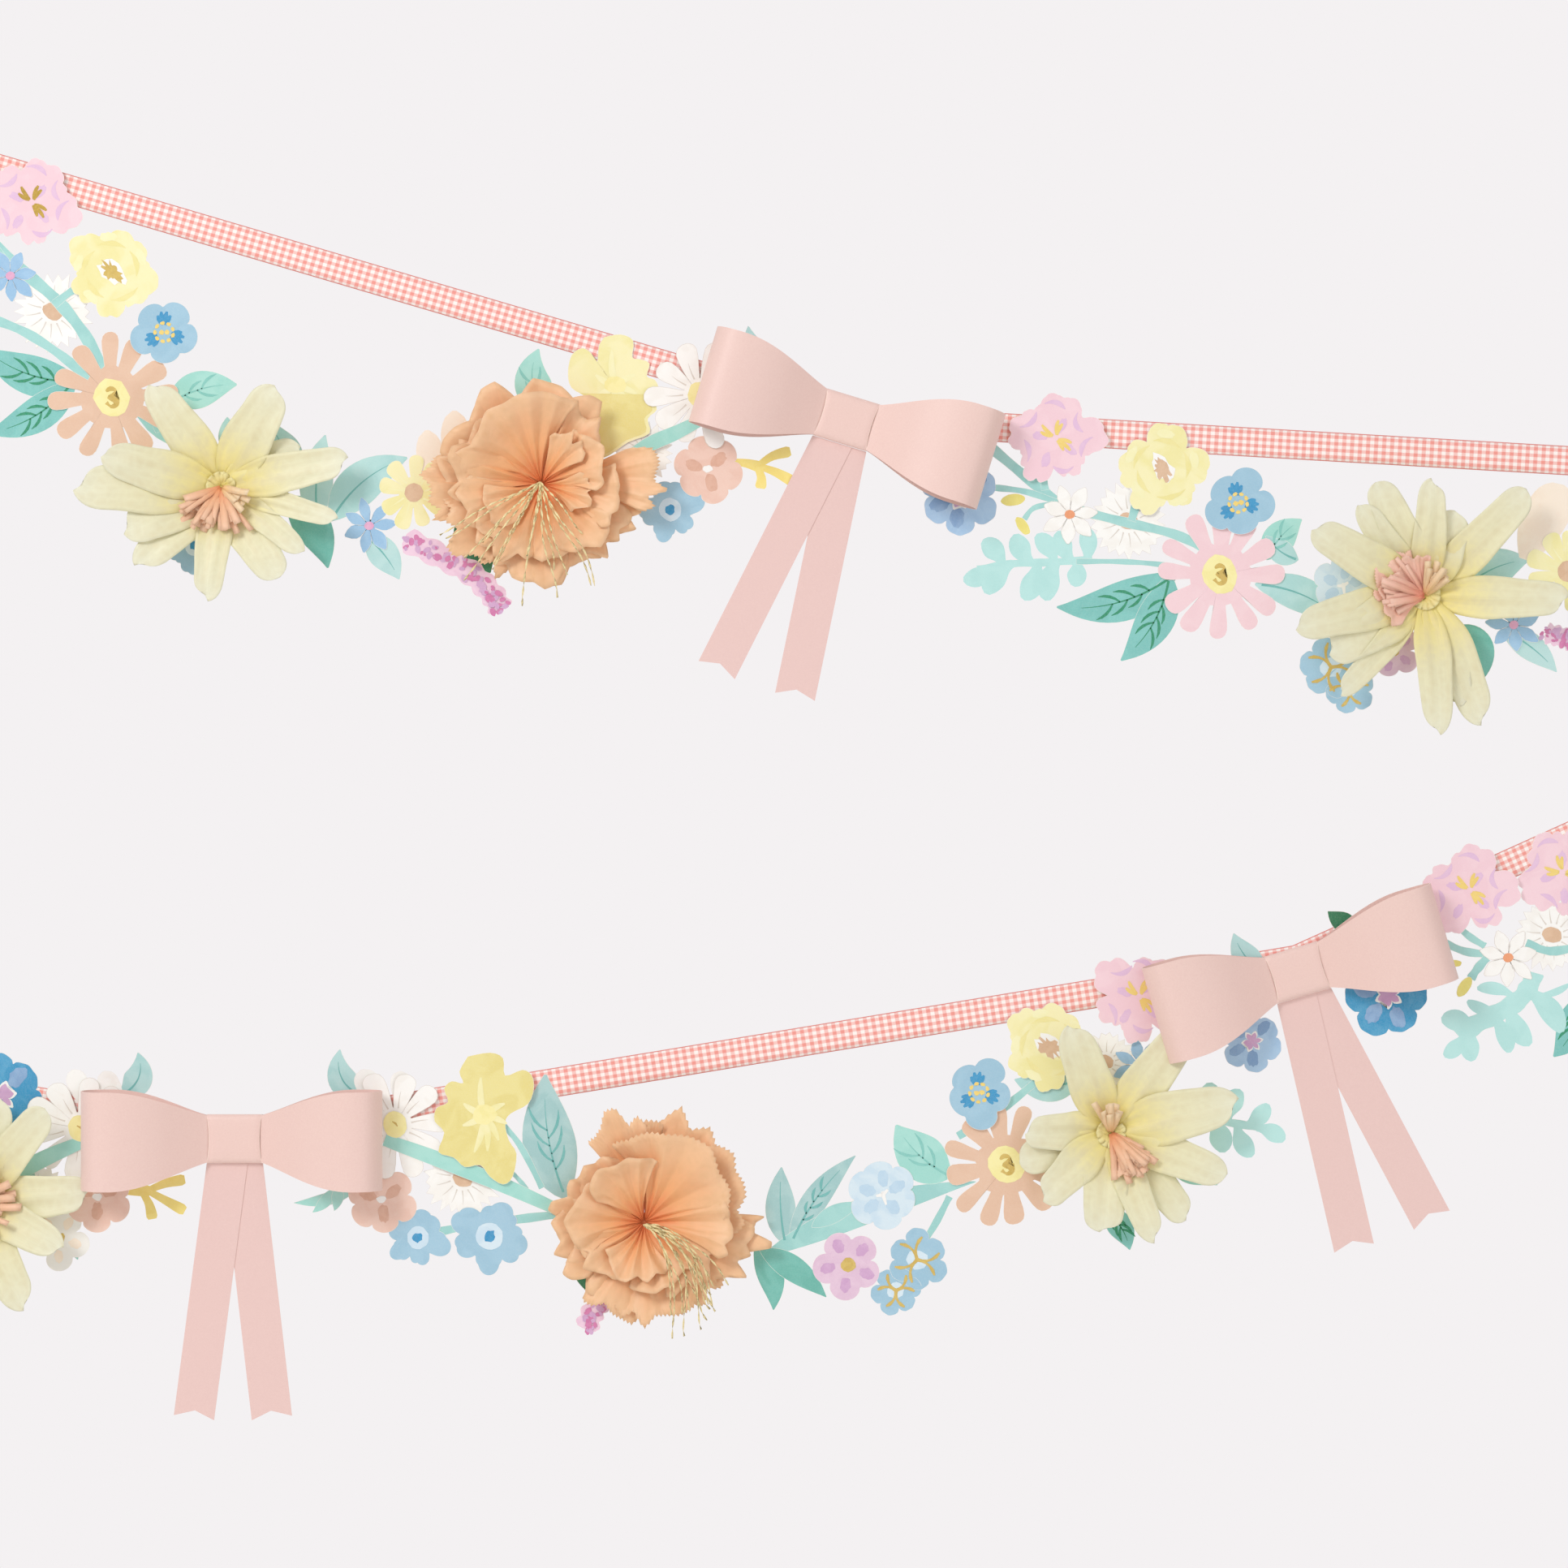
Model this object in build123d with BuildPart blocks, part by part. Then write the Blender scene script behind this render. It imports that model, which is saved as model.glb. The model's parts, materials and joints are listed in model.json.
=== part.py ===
"""A paper flower and bow garland on gingham ribbon, hung in a zigzag of two strands.

Millimetres, +X to the right, +Z up, the front faces -Y. The origin is the middle of the
hanging loop at the upper left.
"""

from build123d import *
from math import cos, radians, sin
import os

# The garland as it hangs
strand_span = 805.0
ribbon_width = 15.0
ribbon_thickness = 0.3
loop_bore_radius = 4.0
loop_wall = 0.6
loop_lap = 12.0
fold_clearance = 0.3

# Card and its foam pads
card_thickness = 0.4
pad_thickness = 0.7
pad_size = 7.0
seat_size = 11.0
stem_width = 3.2
twig_width = 2.2

# Card flowers
peony_radius = 23.5
rose_radius = 23.5
blossom_radius = 24.5
pansy_radius = 17.5
blue_flower_radius = 16.0
small_flower_radius = 12.5
large_daisy_radius = 33.0
white_daisy_radius = 25.5
yellow_daisy_radius = 19.0
star_radius = 15.0
cornflower_radius = 20.0
lilac_floret_radius = 6.0
bud_radius = 4.0
large_daisy_petal_width = 9.5
white_daisy_petal_width = 7.0
yellow_daisy_petal_width = 6.5

# Paper bows
bow_half_length = 77.0
bow_half_height = 25.3
bow_waist_half_height = 11.7
bow_depth = 24.0
bow_pinch_depth = 2.4
bow_stand_off = 3.0
bow_paper = 0.5
bow_corner_radius = 4.0
knot_width = 26.0
knot_seat = 0.3
knot_fit = 0.3
knot_corner_cut = 0.6
tail_length = 131.0
tail_width = 20.8
tail_notch = 3.8
tail_stagger = 4.0
tail_layer = 0.7
tail_clearance = 0.35

# Tissue flowers
tissue_thickness = 0.5
tissue_hub_radius = 8.0
tissue_hub_height = 3.4
tissue_root_radius = 5.0
tissue_root_height = 3.0
tissue_petal_reach = 70.0
tissue_petal_width = 20.0
fringe_stub_radius = 4.0
fringe_stub_height = 1.4
fringe_length = 20.0
fringe_strip_width = 1.8
ruffle_width = 26.0
outer_ruffle_length = 54.0
middle_ruffle_length = 42.0
inner_ruffle_length = 30.0
tinsel_stub_radius = 1.6
tinsel_height = 29.0
tinsel_length = 46.0
tinsel_width = 0.8
tinsel_thickness = 0.3

# Angles in degrees, counts and proportions of outlines
full_turn = 360
half_turn = 180
lobe_cuts = 4
leaf_cuts = 3
tip_cuts = 3
tissue_cuts = 3
tissue_tilt = 20
fringe_tilt = 55
fringe_strips = 12
hub_sides = 14
ruffle_rings = [
    (8, 14, outer_ruffle_length),
    (7, 38, middle_ruffle_length),
    (6, 62, inner_ruffle_length),
]
tinsel_turns = [-140, -122, -104, -90, -76, -62, -48]
leaf_bulge_share = 0.17
daisy_root_share = 0.30
daisy_shoulder_share = 0.80
tissue_root_share = 0.15
tissue_side_share = 0.45
tissue_belly_share = 0.40
tissue_shoulder_share = 0.82
bow_end_cuts = 8
bow_flank_cuts = 4
bow_edge_cuts = 4
bow_flank_rise_share = 0.08
bow_edge_rise_share = 0.04
half_share = 0.5

# Places, as shares of the strand span from the picture's upper left corner: across, down
upper_loop_share = (-0.020, 0.102)
knot_1_share = (0.540, 0.267)
upper_corner_share = (1.038, 0.296)
lower_corner_share = (1.038, 0.517)
knot_3_share = (0.827, 0.612)
knot_2_share = (0.150, 0.724)
lower_loop_share = (-0.020, 0.695)

# Each bow: its middle, its turn, the turn of the ribbon's fold and of its two tails
bows = {
    "bow_1": {"middle_share": (0.540, 0.268), "turn": -17, "fold_turn": -17, "tails": (-9.8, 5.3)},
    "bow_2": {"middle_share": (0.150, 0.726), "turn": 0, "fold_turn": 9.6, "tails": (-7.4, 6.6)},
    "bow_3": {"middle_share": (0.827, 0.620), "turn": 16.5, "fold_turn": 16.5, "tails": (-3.6, 11.5)},
}

# Each swag's base card: its main stem, twigs, leaves and the flowers cut in one with it
swag_shares = {
    "swag_a": {
        "stem": [
            (0.004, 0.114), (0.020, 0.150), (0.034, 0.194), (0.052, 0.222), (0.071, 0.254),
            (0.105, 0.284), (0.142, 0.311), (0.197, 0.334), (0.236, 0.335), (0.264, 0.322),
            (0.308, 0.326), (0.346, 0.309), (0.393, 0.298), (0.425, 0.280), (0.446, 0.256),
            (0.462, 0.243),
        ],
        "twigs": [
            ((0.034, 0.194), (0.071, 0.173)), ((-0.004, 0.152), (0.034, 0.194)),
            ((0.071, 0.254), (0.105, 0.212)), ((0.000, 0.204), (0.052, 0.222)),
            ((0.130, 0.303), (0.124, 0.347)), ((0.393, 0.248), (0.393, 0.298)),
            ((0.425, 0.280), (0.409, 0.296)), ((0.409, 0.296), (0.428, 0.325)),
            ((0.446, 0.256), (0.451, 0.299)), ((0.451, 0.299), (0.478, 0.294)),
            ((0.264, 0.322), (0.282, 0.280)), ((0.254, 0.327), (0.321, 0.388)),
            ((0.012, 0.133), (0.021, 0.129)), ((0.007, 0.176), (0.013, 0.171)),
        ],
        "leaves": [
            ((0.064, 0.243), (-0.012, 0.220)), ((0.067, 0.250), (-0.008, 0.274)),
            ((0.105, 0.284), (0.151, 0.242)), ((0.166, 0.321), (0.192, 0.268)),
            ((0.180, 0.326), (0.203, 0.368)), ((0.197, 0.334), (0.250, 0.296)),
            ((0.236, 0.335), (0.256, 0.369)), ((0.300, 0.325), (0.312, 0.364)),
            ((0.340, 0.312), (0.350, 0.224)), ((0.461, 0.244), (0.487, 0.211)),
            ((0.470, 0.295), (0.498, 0.288)), ((0.470, 0.295), (0.496, 0.309)),
        ],
        "flowers": [
            ("star", (0.007, 0.176)), ("cornflower", (0.034, 0.194)), ("blue_flower", (0.124, 0.347)),
            ("star", (0.236, 0.335)), ("blossom", (0.393, 0.250)), ("cornflower", (0.409, 0.296)),
            ("yellow_daisy", (0.264, 0.314)),
            ("blue_flower", (0.428, 0.325)), ("blue_flower", (0.282, 0.280)),
            ("lilac_floret", (0.268, 0.342)), ("lilac_floret", (0.285, 0.353)),
            ("lilac_floret", (0.300, 0.366)), ("lilac_floret", (0.312, 0.380)),
        ],
    },
    "swag_b": {
        "stem": [
            (0.622, 0.272), (0.630, 0.291), (0.652, 0.310), (0.682, 0.326), (0.719, 0.333),
            (0.745, 0.347), (0.778, 0.366), (0.815, 0.378), (0.857, 0.378), (0.908, 0.380),
            (0.950, 0.372), (0.990, 0.362), (1.018, 0.348), (1.036, 0.330),
        ],
        "twigs": [
            ((0.673, 0.280), (0.682, 0.326)), ((0.630, 0.291), (0.611, 0.318)),
            ((0.741, 0.299), (0.745, 0.347)), ((0.789, 0.321), (0.778, 0.366)),
            ((0.682, 0.326), (0.646, 0.322)), ((0.682, 0.326), (0.652, 0.338)),
            ((0.745, 0.347), (0.694, 0.357)), ((0.694, 0.357), (0.622, 0.366)),
            ((0.870, 0.379), (0.846, 0.430)), ((0.908, 0.380), (0.890, 0.414)),
            ((0.950, 0.372), (0.965, 0.398)), ((0.990, 0.362), (0.991, 0.330)),
            ((0.990, 0.362), (0.998, 0.406)),
        ],
        "leaves": [
            ((0.770, 0.360), (0.674, 0.388)), ((0.772, 0.363), (0.714, 0.422)),
            ((0.815, 0.378), (0.836, 0.335)), ((0.910, 0.378), (0.945, 0.428)),
            ((0.962, 0.390), (0.988, 0.432)), ((0.940, 0.375), (0.970, 0.350)),
            ((0.652, 0.363), (0.614, 0.384)), ((0.662, 0.362), (0.640, 0.388)),
            ((0.676, 0.360), (0.664, 0.386)), ((0.656, 0.363), (0.632, 0.345)),
            ((0.672, 0.360), (0.656, 0.342)), ((0.690, 0.357), (0.676, 0.340)),
        ],
        "flowers": [
            ("star", (0.682, 0.328)), ("cornflower", (0.719, 0.333)), ("bud", (0.646, 0.319)),
            ("bud", (0.652, 0.336)), ("blue_flower", (0.857, 0.373)), ("blue_flower", (0.846, 0.430)),
            ("small_flower", (0.890, 0.414)), ("star", (0.965, 0.398)), ("blue_flower", (0.991, 0.330)),
            ("yellow_daisy", (0.992, 0.362)), ("lilac_floret", (0.996, 0.396)),
            ("lilac_floret", (0.999, 0.410)),
        ],
    },
    "swag_c": {
        "stem": [
            (0.060, 0.707), (0.046, 0.722), (0.024, 0.744), (0.002, 0.758), (-0.018, 0.766),
            (-0.026, 0.742), (-0.012, 0.700),
        ],
        "twigs": [
            ((0.046, 0.722), (0.062, 0.763)), ((0.062, 0.763), (0.090, 0.760)),
            ((0.024, 0.744), (0.023, 0.763)), ((0.023, 0.763), (0.037, 0.789)),
        ],
        "leaves": [
            ((0.060, 0.707), (0.091, 0.671)), ((0.056, 0.712), (0.073, 0.684)),
            ((0.084, 0.760), (0.114, 0.755)), ((0.084, 0.760), (0.106, 0.776)),
        ],
        "flowers": [
            ("blossom", (0.000, 0.699)), ("cornflower", (0.023, 0.763)), ("blue_flower", (0.037, 0.789)),
        ],
    },
    "swag_d": {
        "stem": [
            (0.250, 0.708), (0.264, 0.730), (0.300, 0.752), (0.335, 0.768), (0.361, 0.772),
            (0.411, 0.779), (0.460, 0.782), (0.505, 0.790), (0.560, 0.785), (0.600, 0.768),
            (0.642, 0.743), (0.676, 0.722), (0.708, 0.722), (0.716, 0.690), (0.726, 0.632),
        ],
        "twigs": [
            ((0.264, 0.730), (0.243, 0.765)), ((0.243, 0.765), (0.212, 0.762)),
            ((0.311, 0.710), (0.335, 0.768)), ((0.287, 0.744), (0.287, 0.763)),
            ((0.267, 0.788), (0.320, 0.786)), ((0.320, 0.786), (0.361, 0.772)),
            ((0.411, 0.779), (0.378, 0.842)), ((0.563, 0.761), (0.560, 0.785)),
            ((0.530, 0.788), (0.541, 0.808)), ((0.575, 0.780), (0.585, 0.802)),
            ((0.624, 0.697), (0.642, 0.743)), ((0.669, 0.668), (0.676, 0.722)),
            ((0.726, 0.640), (0.800, 0.668)), ((0.708, 0.722), (0.784, 0.712)),
            ((0.585, 0.802), (0.573, 0.822)), ((0.704, 0.678), (0.727, 0.680)),
        ],
        "leaves": [
            ((0.250, 0.712), (0.215, 0.672)), ((0.252, 0.712), (0.236, 0.684)),
            ((0.225, 0.763), (0.188, 0.764)), ((0.361, 0.772), (0.342, 0.688)),
            ((0.360, 0.772), (0.374, 0.716)), ((0.409, 0.784), (0.374, 0.828)),
            ((0.490, 0.788), (0.500, 0.744)), ((0.500, 0.790), (0.548, 0.738)),
            ((0.495, 0.788), (0.492, 0.835)), ((0.500, 0.790), (0.528, 0.824)),
            ((0.505, 0.790), (0.622, 0.756)), ((0.618, 0.758), (0.570, 0.718)),
            ((0.712, 0.722), (0.714, 0.792)), ((0.745, 0.716), (0.774, 0.692)),
            ((0.760, 0.714), (0.798, 0.708)), ((0.745, 0.718), (0.784, 0.732)),
            ((0.770, 0.657), (0.803, 0.598)),
        ],
        "flowers": [
            ("cornflower", (0.287, 0.763)), ("blue_flower", (0.267, 0.788)), ("pansy", (0.312, 0.788)),
            ("pansy", (0.563, 0.761)), ("blue_flower", (0.541, 0.808)), ("blue_flower", (0.585, 0.802)),
            ("small_flower", (0.573, 0.822)), ("cornflower", (0.704, 0.678)), ("star", (0.727, 0.680)),
            ("blue_flower", (0.798, 0.668)), ("lilac_floret", (0.382, 0.832)),
            ("lilac_floret", (0.377, 0.846)),
        ],
    },
    "swag_e": {
        "stem": [
            (0.915, 0.573), (0.929, 0.592), (0.945, 0.606), (0.962, 0.611), (0.989, 0.597),
            (1.008, 0.572), (1.020, 0.527),
        ],
        "twigs": [
            ((0.937, 0.568), (0.929, 0.592)), ((0.995, 0.556), (0.989, 0.597)),
            ((0.945, 0.606), (0.933, 0.629)), ((0.940, 0.602), (0.926, 0.614)),
            ((0.989, 0.597), (0.984, 0.640)), ((0.984, 0.636), (0.926, 0.664)),
            ((0.929, 0.592), (0.890, 0.642)),
        ],
        "leaves": [
            ((0.984, 0.636), (1.004, 0.674)), ((0.905, 0.622), (0.848, 0.582)),
            ((0.942, 0.656), (0.917, 0.676)), ((0.956, 0.650), (0.944, 0.678)),
            ((0.970, 0.643), (0.970, 0.672)), ((0.946, 0.654), (0.922, 0.648)),
            ((0.960, 0.648), (0.942, 0.632)), ((0.975, 0.640), (0.962, 0.624)),
        ],
        "flowers": [
            ("star", (0.962, 0.611)), ("cornflower", (0.989, 0.597)), ("bud", (0.933, 0.629)),
            ("bud", (0.926, 0.614)), ("pansy", (0.886, 0.642)), ("peony", (0.995, 0.556)),
        ],
    },
}

# Separate card flowers: swag, name, outline, place, turn and the pads under each
card_flowers = [
    ("swag_a", "peony", "peony", (0.021, 0.129), 0, 2),
    ("swag_a", "yellow_rose", "rose", (0.071, 0.173), 10, 1),
    ("swag_a", "blue_pansy", "pansy", (0.105, 0.212), 20, 2),
    ("swag_a", "peach_daisy", "large_daisy", (0.071, 0.254), 5, 0),
    ("swag_a", "white_daisy", "white_daisy", (0.446, 0.252), 0, 1),
    ("swag_a", "salmon_pansy", "pansy", (0.451, 0.299), 15, 0),
    ("swag_b", "blue_pansy", "pansy", (0.611, 0.318), 0, 0),
    ("swag_b", "peony", "peony", (0.673, 0.280), 12, 2),
    ("swag_b", "yellow_rose", "rose", (0.741, 0.299), 0, 1),
    ("swag_b", "pink_daisy", "large_daisy", (0.778, 0.366), 0, 0),
    ("swag_b", "bright_pansy", "pansy", (0.789, 0.321), 30, 2),
    ("swag_c", "white_daisy", "white_daisy", (0.046, 0.719), 10, 1),
    ("swag_c", "salmon_pansy", "pansy", (0.062, 0.763), 0, 0),
    ("swag_d", "white_daisy", "white_daisy", (0.256, 0.717), 6, 1),
    ("swag_d", "salmon_pansy", "pansy", (0.243, 0.765), 10, 0),
    ("swag_d", "yellow_blossom", "blossom", (0.311, 0.710), 0, 2),
    ("swag_d", "peach_daisy", "large_daisy", (0.642, 0.743), 12, 0),
    ("swag_d", "blue_pansy", "pansy", (0.624, 0.697), 25, 2),
    ("swag_d", "yellow_rose", "rose", (0.669, 0.668), 20, 1),
    ("swag_d", "peony", "peony", (0.726, 0.636), 0, 2),
    ("swag_e", "peony", "peony", (0.937, 0.568), 6, 2),
]

# Tissue daisies: their middles and each petal's turn with its share of the full reach
tissue_daisies = {
    "swag_a": ((0.142, 0.311), [
        (181, 1.00), (120, 0.83), (58, 0.78), (11, 0.91), (-16, 0.87),
        (-36, 0.73), (-59, 0.76), (-96, 0.78), (-134, 0.78), (-156, 0.73),
    ]),
    "swag_b": ((0.908, 0.380), [
        (151, 0.97), (130, 0.81), (112, 0.89), (88, 0.82), (45, 1.08), (-3, 1.01),
        (-64, 1.05), (-84, 1.03), (-129, 0.95), (-147, 0.80), (-167, 1.04),
    ]),
    "swag_c": ((-0.018, 0.766), [
        (150, 0.80), (118, 0.85), (72, 0.78), (34, 0.86), (4, 0.80),
        (-42, 0.84), (-72, 0.80), (-104, 0.85), (-140, 0.78),
    ]),
    "swag_d": ((0.708, 0.722), [
        (114, 0.80), (60, 0.70), (18, 0.88), (-19, 0.82), (-46, 0.77),
        (-73, 0.83), (-100, 0.66), (-138, 0.77), (-166, 0.67),
    ]),
}

pompom_shares = {"swag_a": (0.346, 0.309), "swag_d": (0.411, 0.779)}

# Foam pads go with the swags of each stretch of ribbon
pad_groups = {
    "upper_left": ["swag_a"],
    "upper_right": ["swag_b", "swag_e"],
    "lower_middle": ["swag_d"],
    "lower_left": ["swag_c"],
}

ribbon_front = loop_bore_radius + loop_wall
knot_half_width = knot_width * half_share
knot_half_height = bow_waist_half_height + knot_fit + bow_paper
knot_depth = bow_pinch_depth + (knot_fit + bow_paper) * 2
waist_height = knot_seat + bow_paper + knot_fit


def place(shares):
    """Across and up from the upper hanging loop, of a place given in shares."""
    across_share, down_share = shares
    start_share, top_share = upper_loop_share
    return (across_share - start_share) * strand_span, (top_share - down_share) * strand_span


def picture_plane(height):
    """The plane of the picture, a height in front of the ribbon's face."""
    return Plane.XZ.offset(ribbon_front + height)


def turned_plane(shares, turn, height):
    """A plane like the picture's, turned about a place on it."""
    x, z = place(shares)
    facing = (cos(radians(turn)), 0, sin(radians(turn)))
    return Plane(origin=(x, -ribbon_front - height, z), x_dir=facing, z_dir=(0, -1, 0))


def ray(radius, turn):
    """The point at a radius and a turn from the middle."""
    return radius * cos(radians(turn)), radius * sin(radians(turn))


def save(part, name):
    """Writes one node's solid under its own name."""
    part.label = name
    export_step(part, f"parts/{name}.step")


# Flat outlines of the flowers, about their own middles, cut as a craft knife does in short straight cuts
def bowed_line(start, end, rise, cuts):
    """Corners of short straight cuts along a low arc between two places, without its last one."""
    way = end - start
    aside = way.rotate(Axis.Z, 90) * rise
    corners = []
    for cut in range(cuts):
        share = cut / cuts
        bulge = sin(radians(half_turn * share))
        corners.append(start + way * share + aside * bulge)
    return corners


def lobed_outline(radius, lobes, notch_share):
    """Round lobes from notch to notch."""
    step = full_turn / lobes
    corners = []
    for lobe in range(lobes):
        start = Vector(*ray(radius * notch_share, (lobe + half_share) * step))
        end = Vector(*ray(radius * notch_share, (lobe - half_share) * step))
        depth = radius - radius * notch_share * cos(radians(step * half_share))
        corners += reversed(bowed_line(start, end, depth / (end - start).length, lobe_cuts))
    return cut_out(corners)


def daisy_outline(radius, petals, petal_width):
    """Long petals with round tips about a small middle."""
    root = radius * daisy_root_share
    shoulder = radius * daisy_shoulder_share
    half_root = petal_width * half_share * half_share
    half_width = petal_width * half_share
    foot = Vector(shoulder, -half_width)
    head = Vector(shoulder, half_width)
    rise = (shoulder - radius) / petal_width
    tip = bowed_line(foot, head, rise, tip_cuts + 1)
    petal = cut_out([Vector(0, -half_root), *tip, head, Vector(0, half_root)])
    with BuildSketch() as outline:
        RegularPolygon(root + half_root, petals)
        with PolarLocations(0, petals):
            add(petal)
    return outline.sketch


def star_outline(radius, points, waist_share):
    """Pointed petals, straight from waist to tip."""
    step = full_turn / points
    corners = []
    for point in range(points):
        corners.append(ray(radius, point * step))
        corners.append(ray(radius * waist_share, (point + half_share) * step))
    return cut_out(corners)


def cut_out(corners):
    """A flat shape through its corners."""
    with BuildSketch() as outline:
        with BuildLine():
            Polyline(*corners, close=True)
        make_face()
    return outline.sketch


outlines = {
    "peony": lobed_outline(peony_radius, 9, 0.88),
    "rose": lobed_outline(rose_radius, 7, 0.82),
    "blossom": lobed_outline(blossom_radius, 6, 0.74),
    "pansy": lobed_outline(pansy_radius, 5, 0.68),
    "blue_flower": lobed_outline(blue_flower_radius, 5, 0.62),
    "small_flower": lobed_outline(small_flower_radius, 5, 0.62),
    "lilac_floret": lobed_outline(lilac_floret_radius, 4, 0.75),
    "bud": lobed_outline(bud_radius, 3, 0.70),
    "large_daisy": daisy_outline(large_daisy_radius, 12, large_daisy_petal_width),
    "white_daisy": daisy_outline(white_daisy_radius, 9, white_daisy_petal_width),
    "yellow_daisy": daisy_outline(yellow_daisy_radius, 8, yellow_daisy_petal_width),
    "star": star_outline(star_radius, 6, 0.42),
    "cornflower": star_outline(cornflower_radius, 14, 0.78),
}


# Ribbon
def direction(start_share, end_share):
    """Across and up, one millimetre along the way between two places."""
    start = Vector(*place(start_share))
    return (Vector(*place(end_share)) - start).normalized()


def cut_face(shares, facing, clearance):
    """A plane square to the picture through a place, moved into what it keeps."""
    x, z = place(shares)
    normal = Vector(facing.X, 0, facing.Y)
    return Plane(origin=(x, 0, z), z_dir=normal).offset(clearance)


def fold_face(shares, turn):
    """Where a ribbon ends at a bow's fold, with the fold's clearance shared by both runs."""
    return cut_face(shares, Vector(*ray(1, turn)), fold_clearance * half_share)


def ribbon_run(start_share, end_share, cuts, layer, loop_at_start=False):
    """A flat run of ribbon, cut by a plane at each end, and rolled into a loop if it hangs there."""
    along = direction(start_share, end_share)
    start_x, start_z = place(start_share)
    length = (Vector(*place(end_share)) - Vector(start_x, start_z)).length
    facing = (along.X, 0, along.Y)
    face = Plane(origin=(start_x, -ribbon_front - layer, start_z), x_dir=facing, z_dir=(0, -1, 0))
    with BuildPart() as run:
        with BuildSketch(face):
            with Locations((length * half_share, 0)):
                Rectangle(length + ribbon_width * 2, ribbon_width)
        extrude(amount=-ribbon_thickness)
        for cut in cuts:
            split(bisect_by=cut, keep=Keep.TOP)
        if loop_at_start:
            split(bisect_by=cut_face(start_share, along, 0), keep=Keep.TOP)
            with BuildSketch(face):
                with Locations((loop_lap * half_share, 0)):
                    Rectangle(loop_lap, ribbon_width)
            extrude(amount=-loop_wall)
            across = (-along.Y, 0, along.X)
            with BuildSketch(Plane(origin=(start_x, 0, start_z), x_dir=facing, z_dir=across)):
                Circle(loop_bore_radius + loop_wall)
                Circle(loop_bore_radius, mode=Mode.SUBTRACT)
            extrude(amount=ribbon_width * half_share, both=True)
    return run.part


def ribbons():
    """Six runs: two fold back at corners beside the link, and all meet at the bows' folds."""
    across = direction(knot_1_share, upper_corner_share)
    down = direction(upper_corner_share, lower_corner_share)
    back = direction(lower_corner_share, knot_3_share)
    upper_fold = cut_face(upper_corner_share, (down - across).normalized(), 0)
    lower_fold = cut_face(lower_corner_share, (back - down).normalized(), 0)
    fold_1 = bows["bow_1"]["fold_turn"]
    fold_2 = bows["bow_2"]["fold_turn"]
    fold_3 = bows["bow_3"]["fold_turn"]
    behind = -ribbon_thickness
    runs = {
        "upper_left": ribbon_run(
            upper_loop_share, knot_1_share, [fold_face(knot_1_share, fold_1 + half_turn)], 0, True
        ),
        "upper_right": ribbon_run(
            knot_1_share, upper_corner_share, [fold_face(knot_1_share, fold_1), upper_fold], 0
        ),
        "link": ribbon_run(upper_corner_share, lower_corner_share, [upper_fold, lower_fold], behind),
        "lower_right": ribbon_run(
            lower_corner_share, knot_3_share, [lower_fold, fold_face(knot_3_share, fold_3)], 0
        ),
        "lower_middle": ribbon_run(
            knot_3_share,
            knot_2_share,
            [fold_face(knot_3_share, fold_3 + half_turn), fold_face(knot_2_share, fold_2)],
            0,
        ),
        "lower_left": ribbon_run(
            lower_loop_share, knot_2_share, [fold_face(knot_2_share, fold_2 + half_turn)], 0, True
        ),
    }
    for name, part in runs.items():
        save(part, f"ribbon_{name}")


# Paper bows
def band_outline(inset):
    """The right half of a bow's band seen from above, moved in by the paper for its hollow."""
    end_radius = bow_depth * half_share
    flat = bow_half_length - end_radius
    waist_end = knot_half_width + knot_fit
    end_middle = Vector(flat, bow_stand_off + end_radius)
    turns = [half_turn * (cut / bow_end_cuts - half_share) for cut in range(bow_end_cuts + 1)]
    end = [end_middle + Vector(*ray(end_radius - inset, turn)) for turn in turns]
    pinch = Vector(waist_end, waist_height + bow_pinch_depth - inset)
    flank = bowed_line(end[-1], pinch, -bow_flank_rise_share, bow_flank_cuts)
    corners = [
        (0, waist_height + inset),
        (waist_end, waist_height + inset),
        (waist_end + bow_stand_off, bow_stand_off + inset),
        *end,
        *flank[1:],
        pinch,
        (0, pinch.Y),
    ]
    return cut_out(corners)


def bow_front_outline():
    """The upper right quarter of a bow seen from the front, narrow at the waist."""
    waist = Vector(knot_half_width + knot_fit, bow_waist_half_height)
    shoulder = Vector(bow_half_length - bow_corner_radius, bow_half_height)
    corners = [
        (0, 0),
        (0, bow_waist_half_height),
        *bowed_line(waist, shoulder, bow_edge_rise_share, bow_edge_cuts),
        shoulder,
        (bow_half_length, bow_half_height - bow_corner_radius),
        (bow_half_length, 0),
    ]
    return cut_out(corners)


def bow_loops(bow):
    """A closed paper band, full at both ends, flat behind and pinched at the waist."""
    x, z = place(bow["middle_share"])
    along = Vector(*ray(1, bow["turn"]))
    seen_from_above = Plane(
        origin=(x, -ribbon_front, z), x_dir=(along.X, 0, along.Y), z_dir=(along.Y, 0, -along.X)
    )
    with BuildPart() as loops:
        with BuildSketch(seen_from_above):
            add(band_outline(0))
            add(band_outline(bow_paper), mode=Mode.SUBTRACT)
            mirror(about=Plane.YZ)
        extrude(amount=bow_half_height, both=True)
        with BuildSketch(turned_plane(bow["middle_share"], bow["turn"], 0)):
            add(bow_front_outline())
            mirror(about=Plane.YZ)
            mirror(about=Plane.XZ)
        extrude(amount=bow_stand_off + bow_depth, mode=Mode.INTERSECT)
    return loops.part


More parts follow.
